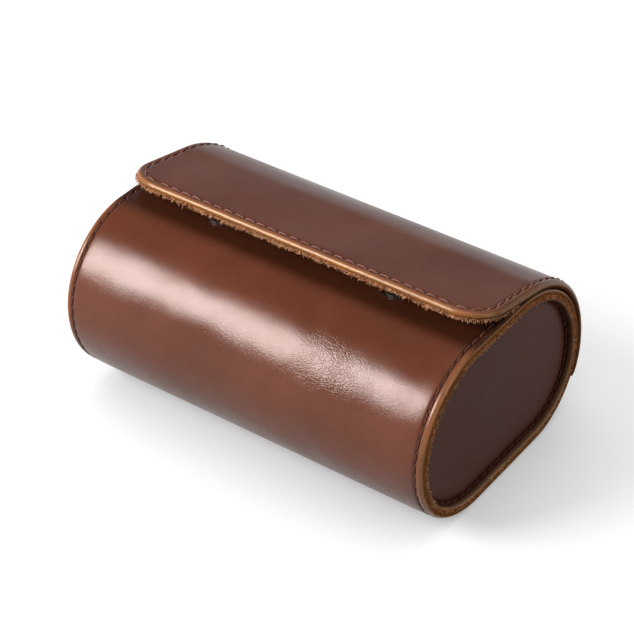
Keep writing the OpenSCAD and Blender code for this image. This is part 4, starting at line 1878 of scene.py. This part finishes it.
    def hinge_rows(self) -> Rows:
        """The two rows that hold the leather to the back wall."""
        z = self.sizes
        r = self.strip_r
        low = angle_at(self.strip_low_z + z.stitch_inset, z.back_bottom_c, r)
        count = int((2 * z.half_l - 2 * z.stitch_inset) // z.stitch_pitch)
        places, ups = [], []
        for normal in (low, low + math.degrees(self.row_gap / r)):
            foot = np.array(z.back_bottom_c) + r * unit(normal)
            for x in spaced(count, z.stitch_pitch):
                places.append([x, *foot])
                ups.append([0, *unit(normal)])
        return np.array(places), np.tile([1.0, 0, 0], (len(places), 1)), np.array(ups)

    def columns(self, s: Array) -> Array:
        """Places along X of the leather's points, a row for each distance from the front edge."""
        wide = self.half_width(s, self.edge)[:, None]
        offsets = np.array(self.edge_offsets + self.seam_offsets + self.face_offsets, float)
        inner = np.linspace(-1, 1, 27)[1:-1]
        right = (wide - offsets)[:, ::-1]
        return np.concatenate([-(wide - offsets), (wide - offsets[-1]) * inner, right], 1)

    def leather(self) -> Form:
        """The flap's leather as one sheet, the sewn end included."""
        z = self.sizes
        low = angle_at(self.strip_low_z, z.back_bottom_c, self.strip_r)
        low += math.degrees(self.edge / self.strip_r)
        line = self.line(self.edge, 0.0).joined(arc(z.back_bottom_c, self.strip_r, 0.0, low, self.pitch))
        s = line.along
        xs = self.columns(s)
        far = self.from_outline(xs, np.broadcast_to(s[:, None], xs.shape))
        shape = xs.shape
        flat = drawn_out(line, xs, np.zeros(shape))
        places, along, _ = self.rows()
        more, more_along, _ = self.hinge_rows()
        holes = np.concatenate([self.holes(places, along), self.holes(more, more_along)])
        hole = nearness(flat, holes, self.hole_r)
        tail = (s[-1] - s)[:, None]
        on_row = bell(far - z.stitch_inset, self.row_w) * (tail > 16)
        from_row = tail - z.stitch_inset + self.edge
        low_rows = bell(from_row, self.row_w) + bell(from_row - self.row_gap, self.row_w)
        line_mark = np.maximum(on_row, low_rows * np.ones(shape))
        corner = self.rounding * rounded(far, 1.5, 0.95)
        skived = self.skived * rounded(tail, self.skived_l, self.skived_l)
        swell = self.swell * ripple(s, 8, 38, 71)[:, None] * ripple(xs[len(s) // 2], 9, 44, 83)[None]
        swell = swell * np.clip((far - 3) / 9, 0, 1) * np.clip((tail - 2) / 8, 0, 1)
        depth = corner + skived + 0.13 * line_mark + 0.24 * hole * line_mark - swell + 0.01
        outer = drawn_out(line, xs, depth)
        thick = z.leather_t + (self.gap - 0.03) * np.clip((22 - tail) / 3, 0, 1) * np.ones(shape)
        under = drawn_out(line, xs, thick)
        # The mark rub: paler worn leather and a painted highlight along the cut edge and the sewn end.
        rub = 0.75 * bell(far - 0.5, 0.4) + 0.22 * bell(far - 1.4, 0.8)
        rub = np.clip(np.maximum(rub, bell(tail, 0.9) * np.ones(shape)), 0, 1)
        # Painted shade in the furrows of the stitch rows and round their holes.
        marks = {"rub": rub, "sunk": np.clip(0.08 * line_mark + 0.45 * hole * line_mark, 0, 1)}
        keep = np.ones((shape[0] - 1, shape[1] - 1), bool)
        return sheet_form(outer, under, keep, False, self.edge, marks, steps=7)

    def suede(self) -> Form:
        """The suede under the flap, full width only in front of the rims."""
        z = self.sizes
        inset = 1.2
        line = self.line(inset, self.lining_from + 0.4)
        s = line.along
        wide = self.half_width(s, inset)
        narrow = (self.lining_half_l - 0.2) / (z.half_l - inset)
        lean = self.lean
        low_r = z.back_top_r + self.gap - self.lining_t
        wide_from = (z.back_top_r + 0.4 - low_r * math.cos(lean)) / math.sin(lean)
        outer_share = 1 - np.array([0, 0.002, 0.006, 0.012, 0.02, 0.032, 0.05, 0.075, 0.1])
        inner_share = np.linspace(-narrow, narrow, 47)
        u = np.concatenate([-outer_share, inner_share, outer_share[::-1]])
        xs = wide[:, None] * u[None]
        middle = (u[:-1] + u[1:]) / 2
        keep = np.ones((len(s) - 1, len(middle)), bool)
        ahead = (s[:-1] + s[1:]) / 2 < self.reach - wide_from
        keep[~ahead] = np.abs(middle) < narrow
        swell = 0.06 * ripple(s, 51, 8, 19)[:, None] * ripple(u * 60, 52, 9, 23)[None]
        top = drawn_out(line, xs, np.full(xs.shape, z.leather_t + 0.03))
        far = self.from_outline(xs, np.broadcast_to(s[:, None], xs.shape))
        thin = 0.8 * np.clip((3.4 - far) / 2.2, 0, 1) ** 0.8
        low = drawn_out(line, xs, z.leather_t + self.lining_t - 0.06 - thin + swell)
        return sheet_form(top, low, keep, False, 0.2)

    def frayed(self) -> Form:
        """Fibres along the suede's front edge and corners, hanging below the leather."""
        z = self.sizes
        rng = np.random.default_rng(91)
        r, half = self.corner_r, z.half_l
        side_l, front_l = self.fray_side_l, 2 * (half - r)
        corner_l = math.pi / 2 * r
        total = 2 * side_l + 2 * corner_l + front_l
        count = int(total * self.fibres_per_mm)
        back, up = self.back, self.up
        roots, ways = [], []
        clump = ripple(np.linspace(0, total, 4000), 93, 1.3, 2.7, 6.1)
        lengths = []
        for q in np.sort(rng.uniform(0, total, count)):
            side = -1.0
            d = q
            if q > total / 2:
                side, d = 1.0, total - q
            if d < side_l:
                x, s = half, r + side_l - d
                way = np.array([side, 0.0, 0.0])
            elif d < side_l + corner_l:
                a = (d - side_l) / r
                x, s = half - r + r * math.cos(a), r - r * math.sin(a)
                way = np.array([side * math.cos(a), 0, 0]) - back * math.sin(a)
            else:
                x, s = half - r - (d - side_l - corner_l), 0.0
                way = -back
            share = rng.beta(1.3, 1.5)
            depth = z.leather_t - 0.35 + 1.05 * share
            place = np.array([side * x, *self.flat_points(np.array(s))]) - up * depth - way * 0.12
            roots.append(place)
            tangent = np.cross(way, up)
            lift = -rng.uniform(0.05, 0.4) - 0.65 * share
            ways.append(way * rng.uniform(0.45, 1.1) + up * lift + tangent * rng.normal(0, 0.5))
            bunch = clump[int(q / total * (len(clump) - 1))]
            length = rng.lognormal(math.log(self.fray_l), 0.4)
            lengths.append(length * (0.5 + 0.6 * share) * (1 + 0.45 * bunch))
        lengths = np.clip(lengths, 0.2, 1.15)
        maker = FibreMaker(thickness=0.16)
        return maker.strands(np.array(roots), np.array(ways), lengths, 92, droop=-up * 0.35)

    def build(self) -> None:
        """Makes the leather, its suede, its fibres and its thread."""
        leather = make_piece("flap_cover", self.leather(), self.finishes.flap)
        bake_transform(leather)
        self.keep(leather, "flap_leather", "flap_leather", "hinge_strip")
        f = self.finishes
        self.lay("flap_suede", self.suede(), f.lining, Body.FLAP, "suede_lining", "flap_lining")
        self.lay("flap_fray", self.frayed(), f.fibre, Body.FLAP, "suede_lining")
        thread = StitchMaker(length=3.2, thickness=0.5)
        row = thread.row(*self.rows(), seed=61, sink=0.16)
        self.lay("flap_thread", row, f.flap_thread, Body.FLAP, "thread", "flap_stitches")
        row = thread.row(*self.hinge_rows(), seed=62, sink=0.16)
        self.lay("hinge_thread", row, f.flap_thread, Body.CASE, "thread", "hinge_stitches")


@dataclass
class WatchPillows(Assembly):
    """The two pillows that the watches are strapped round: soft, crowned, with piped ends.

    Attributes:
        middle_y: The middle from front to back.
        middle_z: Its height.
        lean: Angle of the pillow's width from level.
        width: Its width in the section.
        thickness: Its thickness in the section.
        corner_r: Radius of its section's corners.
        x_near: Its end at the divider.
        x_far: Its end at the case's end.
        end_swell: How far each end bulges past its seam.
        voxel: Size of the even mesh that the cloth is made of.
        slack: How far the starting shape is drawn in between the seams.
        most_move: The longest way that a point may go in the simulation.
        seam_drawn: How far a seam is drawn in.
        seam_half_w: Half of its width.
        cord_r: Radius of the piping's cord.
        cloth_scale: How many times its real size the cloth is simulated at.
        cloth_steps: Steps of the simulation.
        cloth_mass: Mass of a point of the cloth.
        cloth_stiffness: Its stiffness in tension and compression.
        cloth_surplus: How much longer it is cut than the starting shape, as a share.
        pressure: The filling's pressure.
    """

    middle_y: float = 7.91
    middle_z: float = 27.53
    lean: float = -37.14
    width: float = 52.0
    thickness: float = 36.0
    corner_r: float = 17.0
    x_near: float = 2.3
    x_far: float = 56.9
    end_swell: float = 2.4
    voxel: float = 1.7
    slack: float = 0.9
    most_move: float = 2.2
    seam_drawn: float = 1.35
    seam_half_w: float = 0.15
    cord_r: float = 0.75
    cloth_scale: float = 10.0
    cloth_steps: int = 20
    cloth_mass: float = 0.02
    cloth_stiffness: float = 12.0
    cloth_surplus: float = 0.035
    pressure: float = 4.0

    @property
    def middle(self) -> Array:
        """The pillow's middle, as (y, z)."""
        return np.array([self.middle_y, self.middle_z])

    @property
    def spin(self) -> Array:
        """The matrix that turns the pillow's own (width, thickness) into (y, z)."""
        turn = math.radians(self.lean)
        return np.array([[math.cos(turn), math.sin(turn)], [-math.sin(turn), math.cos(turn)]])

    @property
    def grow(self) -> float:
        """Metres for each millimetre of the cloth while it is simulated."""
        return self.cloth_scale * MM

    @property
    def seams(self) -> tuple[float, float]:
        """Places along X of the two end seams."""
        return self.x_near + self.end_swell, self.x_far - self.end_swell

    def ring(self, inset: float, count: int = 132) -> Array:
        """The pillow's outline, drawn in, as (y, z) points spaced evenly round it."""
        half_w, half_t = self.width / 2 - inset, self.thickness / 2 - inset
        r = self.corner_r - inset
        corners = []
        for a, b, first in ((1, 1, 0), (-1, 1, 90), (-1, -1, 180), (1, -1, 270)):
            centre = np.array([a * (half_w - r), b * (half_t - r)])
            corners.append(centre + r * unit(np.linspace(first, first + 90, 40)))
        line = np.concatenate(corners + [corners[0][:1]])
        step = np.concatenate([[0], np.cumsum(np.linalg.norm(np.diff(line, axis=0), axis=1))])
        even = np.linspace(0, step[-1], count, endpoint=False)
        local = np.stack([np.interp(even, step, line[:, 0]), np.interp(even, step, line[:, 1])], -1)
        return local @ self.spin + self.middle

    def form(self, seed: int, slack: float = 0.0) -> Form:
        """One pillow at the right of the divider, its cover drawn in between the seams by a slack."""
        middle = self.middle
        rings, marks = [], []
        base = self.ring(0.25)
        turn = np.linspace(0, 2 * np.pi, len(base), endpoint=False)
        gathers = ripple(turn, seed, 0.16, 0.27, 0.5)

        def put(x: float, drawn: float, share: float, pucker: float, seamed: float) -> None:
            """Adds one ring, drawn in by a distance or shrunk by a share."""
            scale = share * (1 - (drawn + pucker * gathers) / np.linalg.norm(base - middle, axis=1))
            points = middle + (base - middle) * scale[:, None]
            rings.append(upright(x, points))
            marks.append(seamed)

        x0, x1 = self.seams
        crown = (0.03, 0.2, 0.4, 0.6, 0.76, 0.88, 0.95)
        for share in crown:
            put(x0 - self.end_swell * math.sqrt(1 - share**3), 1.2, share, 0.0, 0)
        put(x0 - self.seam_half_w, self.seam_drawn, 1, 0.12, 1)
        put(x0 + self.seam_half_w, self.seam_drawn, 1, 0.16, 1)
        inner = x1 - x0
        first_half = (0.012, 0.03, 0.055, 0.09, 0.14, 0.2, 0.28, 0.38)
        second_half = (0.62, 0.72, 0.8, 0.86, 0.91, 0.945, 0.97, 0.988)
        for t in (*first_half, 0.5, *second_half):
            edge = min(t, 1 - t)
            drawn = 1.25 * math.exp(-edge * inner / 2.6) + 0.1 + slack * (1 - math.exp(-edge * inner / 2))
            drawn += 1.1 * (2 * t - 1) ** 2
            put(x0 + t * inner, drawn, 1, 0.3 * math.exp(-edge * inner / 3.2), 0)
        put(x1 - self.seam_half_w, self.seam_drawn, 1, 0.16, 1)
        put(x1 + self.seam_half_w, self.seam_drawn, 1, 0.12, 1)
        for share in reversed(crown):
            put(x1 + self.end_swell * math.sqrt(1 - share**3), 1.2, share, 0.0, 0)
        return loft_form(np.array(rings), {"sunk": np.array(marks)})

    def even_cover(self, form: Form) -> bpy.types.Object:
        """A pillow's cover as a mesh of even faces, scaled for the simulation."""
        mesh = bpy.data.meshes.new("pillow_start")
        mesh.from_pydata((form.points * self.grow).tolist(), [], form.faces)
        cover = placed("pillow_start", mesh)
        voxels = cover.modifiers.new("voxels", "REMESH")
        voxels.mode = "VOXEL"
        voxels.voxel_size = self.voxel * self.grow
        cover.data = baked(cover)
        bpy.data.meshes.remove(mesh)
        return cover

    def simulated(self, cover: bpy.types.Object, start: Array) -> Array:
        """Runs a short cloth simulation, in which the filling's pressure swells a cover.

        Args:
            cover: The cover.
            start: Its points, in millimetres.

        Returns:
            Its points after the simulation, in millimetres.
        """
        seams = cover.vertex_groups.new(name="seams")
        for x in self.seams:
            held = np.nonzero(np.abs(start[:, 0] - x) < 0.75 * self.voxel)[0]
            seams.add(held.tolist(), 1.0, "REPLACE")
        cloth = cover.modifiers.new("cover", "CLOTH")
        settings = cloth.settings
        settings.quality = 6
        settings.mass = self.cloth_mass
        settings.tension_stiffness = settings.compression_stiffness = self.cloth_stiffness
        settings.shear_stiffness = self.cloth_stiffness / 2
        settings.bending_stiffness = 0.4
        settings.shrink_min = -self.cloth_surplus
        settings.use_pressure = True
        settings.uniform_pressure_force = self.pressure
        settings.vertex_group_mass = "seams"
        settings.effector_weights.gravity = 0.0
        cloth.point_cache.frame_start, cloth.point_cache.frame_end = 1, self.cloth_steps
        scene = bpy.context.scene
        for step in range(1, self.cloth_steps + 1):
            scene.frame_set(step)
        graph = bpy.context.evaluated_depsgraph_get()
        done = points_of(cover.evaluated_get(graph).data) / self.grow
        scene.frame_set(1)
        cover.modifiers.clear()
        return done

    def swollen(self, form: Form) -> Form:
        """Lets a short cloth simulation swell a pillow's cover, held along its two end seams.

        The cloth is cut a little larger than the starting shape, so that the filling's
        pressure draws it into shallow gathers between the seams. The simulation runs at
        cloth_scale times the real size, because the solver hardly moves a mesh this small.

        Args:
            form: The starting shape, a little smaller than the pillow.

        Returns:
            The swollen form, inside the space of the CAD pillow.
        """
        cover = self.even_cover(form)
        even = cover.data
        start = points_of(even) / self.grow
        move = self.simulated(cover, start) - start
        size = np.maximum(np.linalg.norm(move, axis=1), 1e-9)
        points = self.held_in(start + move * np.minimum(1, self.most_move / size)[:, None])
        log.info("cloth: moved up to %.2f mm, %.2f mm on average", size.max(), size.mean())
        even.vertices.foreach_set("co", (points * self.grow).ravel())
        finer = cover.modifiers.new("finer", "SUBSURF")
        finer.levels = finer.render_levels = 1
        smooth = baked(cover)
        faces = [tuple(face.vertices) for face in smooth.polygons]
        result = Form(points_of(smooth) / self.grow, faces)
        result.marks["sunk"] = np.maximum(*(bell(result.points[:, 0] - x, 0.7) for x in self.seams))
        bpy.data.objects.remove(cover)
        for used in (even, smooth):
            bpy.data.meshes.remove(used)
        return result

    def held_in(self, points: Array, gap: float = 0.12) -> Array:
        """Points moved back into the rounded block of the CAD pillow where they pass it."""
        middle, spin = self.middle, self.spin
        local = (points[:, 1:] - middle) @ spin.T
        half = np.array([self.width / 2, self.thickness / 2]) - self.corner_r
        past = np.abs(local) - half
        corner = np.maximum(past, 0)
        reach = np.linalg.norm(corner, axis=1)
        over = np.maximum(reach + np.minimum(past.max(1), 0) - (self.corner_r - gap), 0)
        way = corner / np.maximum(reach, 1e-9)[:, None] * np.sign(local)
        local = local - way * over[:, None]
        moved = np.column_stack([points[:, 0], local @ spin + middle])
        moved[:, 0] = np.clip(moved[:, 0], self.x_near + gap, self.x_far - gap)
        return moved

    def piping(self) -> Form:
        """The corded seams at both ends of a pillow."""
        line = self.ring(1.05, 176)
        middle = line.mean(0)
        out = (line - middle) / np.linalg.norm(line - middle, axis=1, keepdims=True)
        turns = np.linspace(0, 2 * np.pi, 10, endpoint=False)
        grid = np.empty((len(line), len(turns), 3))
        grid[..., 1:] = line[:, None] + out[:, None] * (self.cord_r * np.sin(turns))[None, :, None]
        faces = [tuple(quad) for quad in wound_quads(*grid.shape[:2], closed=True).tolist()]
        cords = []
        for x in self.seams:
            grid[..., 0] = x + self.cord_r * np.cos(turns)[None]
            cords.append(Form(grid.reshape(-1, 3).copy(), faces))
        return cords[0].add(cords[1])

    def build(self) -> None:
        """Makes both pillows, seated on their bodies."""
        piping = self.piping()
        for end, body in ((End.RIGHT, Body.RIGHT_PILLOW), (End.LEFT, Body.LEFT_PILLOW)):
            form = self.form(seed=130 + end.value)
            form = self.swollen(self.form(seed=130 + end.value, slack=self.slack))
            name, suede = f"{end.word}_pillow", self.finishes.pillow
            nodes = [f"{name}_{part}" for part in ("cover", "ends", "foam")]
            pillow = self.lay(name, form.at(end), suede, body, "pillow_suede", *nodes)
            self.lay(f"{name}_piping", piping.at(end), suede, body, "pillow_suede")


@dataclass
class PackedParts(Assembly):
    """The CAD nodes whose shape is right as it is, each given its finish."""

    def build(self) -> None:
        """Gives boards, snaps and magnets their materials."""
        f = self.finishes
        boards = ("body_stiffener", "right_end_board", "left_end_board", "divider_board", "flap_stiffener")
        steels = ("snap_sockets", "socket_washers", "snap_posts", "post_washers")
        for finish, names in ((f.board, boards), (f.steel, steels), (f.magnet, ("snap_magnets",))):
            for name in names:
                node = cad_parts[name]
                node.data.materials.clear()
                node.data.materials.append(finish)
                self.pieces.append(node)


# Studio


@dataclass(frozen=True)
class Softbox:
    """A rectangular studio lamp that looks at the case, in metres and watts."""

    name: str
    place: Triple
    aim: Triple
    size: tuple[float, float]
    power: float
    colour: Colour = (1.0, 1.0, 1.0)

    def light(self) -> bpy.types.Object:
        """Makes the lamp."""
        data = bpy.data.lights.new(self.name, "AREA")
        data.shape = "RECTANGLE"
        data.size, data.size_y = self.size
        data.energy = self.power
        data.color = self.colour
        lamp = placed(self.name, data)
        lamp.location = self.place
        way = Vector(self.aim) - Vector(self.place)
        lamp.rotation_euler = way.to_track_quat("-Z", "Y").to_euler()
        return lamp


@dataclass(frozen=True)
class Studio:
    """The pale floor, the soft light and the camera at the photograph's angle.

    Attributes:
        camera_mm: Where the camera stands, in millimetres.
        right: The way to the picture's right.
        up: The way to its top.
        lens: Focal length, for a sensor 36 mm wide.
        floor_r: Radius of the floor, in millimetres.
        floor_z: Its height, just below the case.
        shelter_m: How far from the case its shadow is deepened, in metres.
    """

    camera_mm: Triple = (297.464, -429.56, 426.785)
    right: Triple = (0.81629, 0.5776, 0.00671)
    up: Triple = (-0.35267, 0.48914, 0.79772)
    lens: float = 121.22
    floor_r: float = 2600.0
    floor_z: float = -0.05
    shelter_m: float = 0.075

    def camera(self) -> bpy.types.Object:
        """Makes the camera fitted to the photograph."""
        data = bpy.data.cameras.new("photo_camera")
        data.lens = self.lens
        data.sensor_width = 36.0
        data.sensor_fit = "HORIZONTAL"
        data.clip_start, data.clip_end = 0.02, 30.0
        camera = placed("photo_camera", data)
        x, y = Vector(self.right).normalized(), Vector(self.up).normalized()
        z = x.cross(y)
        y = z.cross(x)
        turn = Matrix((x, y, z)).transposed()
        camera.matrix_world = Matrix.Translation(Vector(self.camera_mm) * MM) @ turn.to_4x4()
        bpy.context.scene.camera = camera
        return camera

    def floor(self) -> bpy.types.Object:
        """Makes the pale floor, whose glow is dimmed near the case into a painted shadow."""
        steps = 96
        turns = np.linspace(0, 2 * np.pi, steps, endpoint=False)
        ring = self.floor_r * np.stack([np.cos(turns), np.sin(turns)], -1)
        points = np.column_stack([ring, np.full(steps, self.floor_z)])
        mesh = bpy.data.meshes.new("studio_floor")
        mesh.from_pydata((points * MM).tolist(), [], [tuple(range(steps))])
        p = Paint("pale_paper")
        place = p.place(rest=False)
        grain = p.noise(place, 900, 3, 0.6)
        rays = p.node("LightPath").outputs
        mirrored = p.math("MAXIMUM", rays["Is Glossy Ray"], rays["Is Transmission Ray"])
        seen = p.math("MAXIMUM", rays["Is Camera Ray"], mirrored)
        share = p.math("MULTIPLY_ADD", mirrored, 0.5, rays["Is Camera Ray"])
        pale = p.mix(p.span(grain, 0.3, 0.7), (0.44, 0.445, 0.45), (0.46, 0.465, 0.47))
        # Painted shadow: the floor's glow is dimmed near the case by ambient occlusion.
        shelter = p.node("AmbientOcclusion", samples=8)
        shelter.inputs["Distance"].default_value = self.shelter_m
        glow = p.span(shelter.outputs["AO"], 0.1, 1.0, 0.25, 0.73)
        paper = p.done(
            Base_Color=p.mix(seen, (0.1, 0.1, 0.1), pale),
            Roughness=p.span(grain, 0.2, 0.8, 0.82, 0.92),
            Specular_IOR_Level=0.15,
            Emission_Color=(1.0, 1.0, 1.0, 1.0),
            Emission_Strength=p.math("MULTIPLY", share, glow),
        )
        mesh.materials.append(paper)
        floor = placed("studio_floor", mesh)
        return floor

    def world(self) -> None:
        """Makes the pale surroundings: white to the camera and in gloss, softer as light."""
        world = bpy.data.worlds.new("pale_studio")
        bpy.context.scene.world = world
        n = Nodes(world)
        rays = n.node("LightPath").outputs
        split = n.node("SeparateXYZ")
        n.put(split.inputs[0], n.node("TexCoord").outputs["Generated"])
        back = n.background((1.0, 1.0, 1.0), 1.0)
        fill = n.background((0.93, 0.96, 1.0), 0.11)
        gloss = n.background((0.9, 0.94, 1.0), n.span(split.outputs["Z"], 0.0, 0.3, 0.9, 0.2))
        light = n.shaders(rays["Is Glossy Ray"], fill, gloss)
        seen = n.math("MAXIMUM", rays["Is Camera Ray"], rays["Is Transmission Ray"])
        n.put(n.node("OutputWorld").inputs[0], n.shaders(seen, light, back))

    def lamps(self) -> None:
        """Makes the soft lamps."""
        aim = (0.0, 0.0, 0.03)
        Softbox("front_softbox", (-0.61, -0.81, 0.71), aim, (0.55, 0.62), 22.0, (1.0, 0.98, 0.965)).light()
        Softbox("top_softbox", (0.1, 0.35, 1.3), aim, (0.9, 0.9), 1.0).light()
        Softbox("side_softbox", (1.25, 0.05, 0.62), aim, (0.8, 0.8), 4.2, (0.97, 0.985, 1.0)).light()

    def build(self) -> None:
        """Makes the whole studio and sets the view to plain display."""
        self.camera()
        self.floor()
        self.world()
        self.lamps()
        bpy.context.scene.view_settings.view_transform = "Standard"


def main() -> None:
    """Builds the case's sub-assemblies in order and reports every piece."""
    logging.basicConfig(level=logging.INFO, format="%(name)s: %(message)s")
    Studio().build()
    sizes = CaseSizes()
    outline = CaseOutline(sizes)
    finishes = Finishes.made()
    for kind in (PackedParts, BodyWrap, EndCap, Linings, Flap, WatchPillows):
        assembly = kind(sizes, outline, finishes)
        assembly.build()
        for piece in assembly.pieces:
            log.info("%s: %s, %d faces", kind.__name__, piece.name, len(piece.data.polygons))
    bpy.context.view_layer.update()


if __name__ == "__main__":
    main()
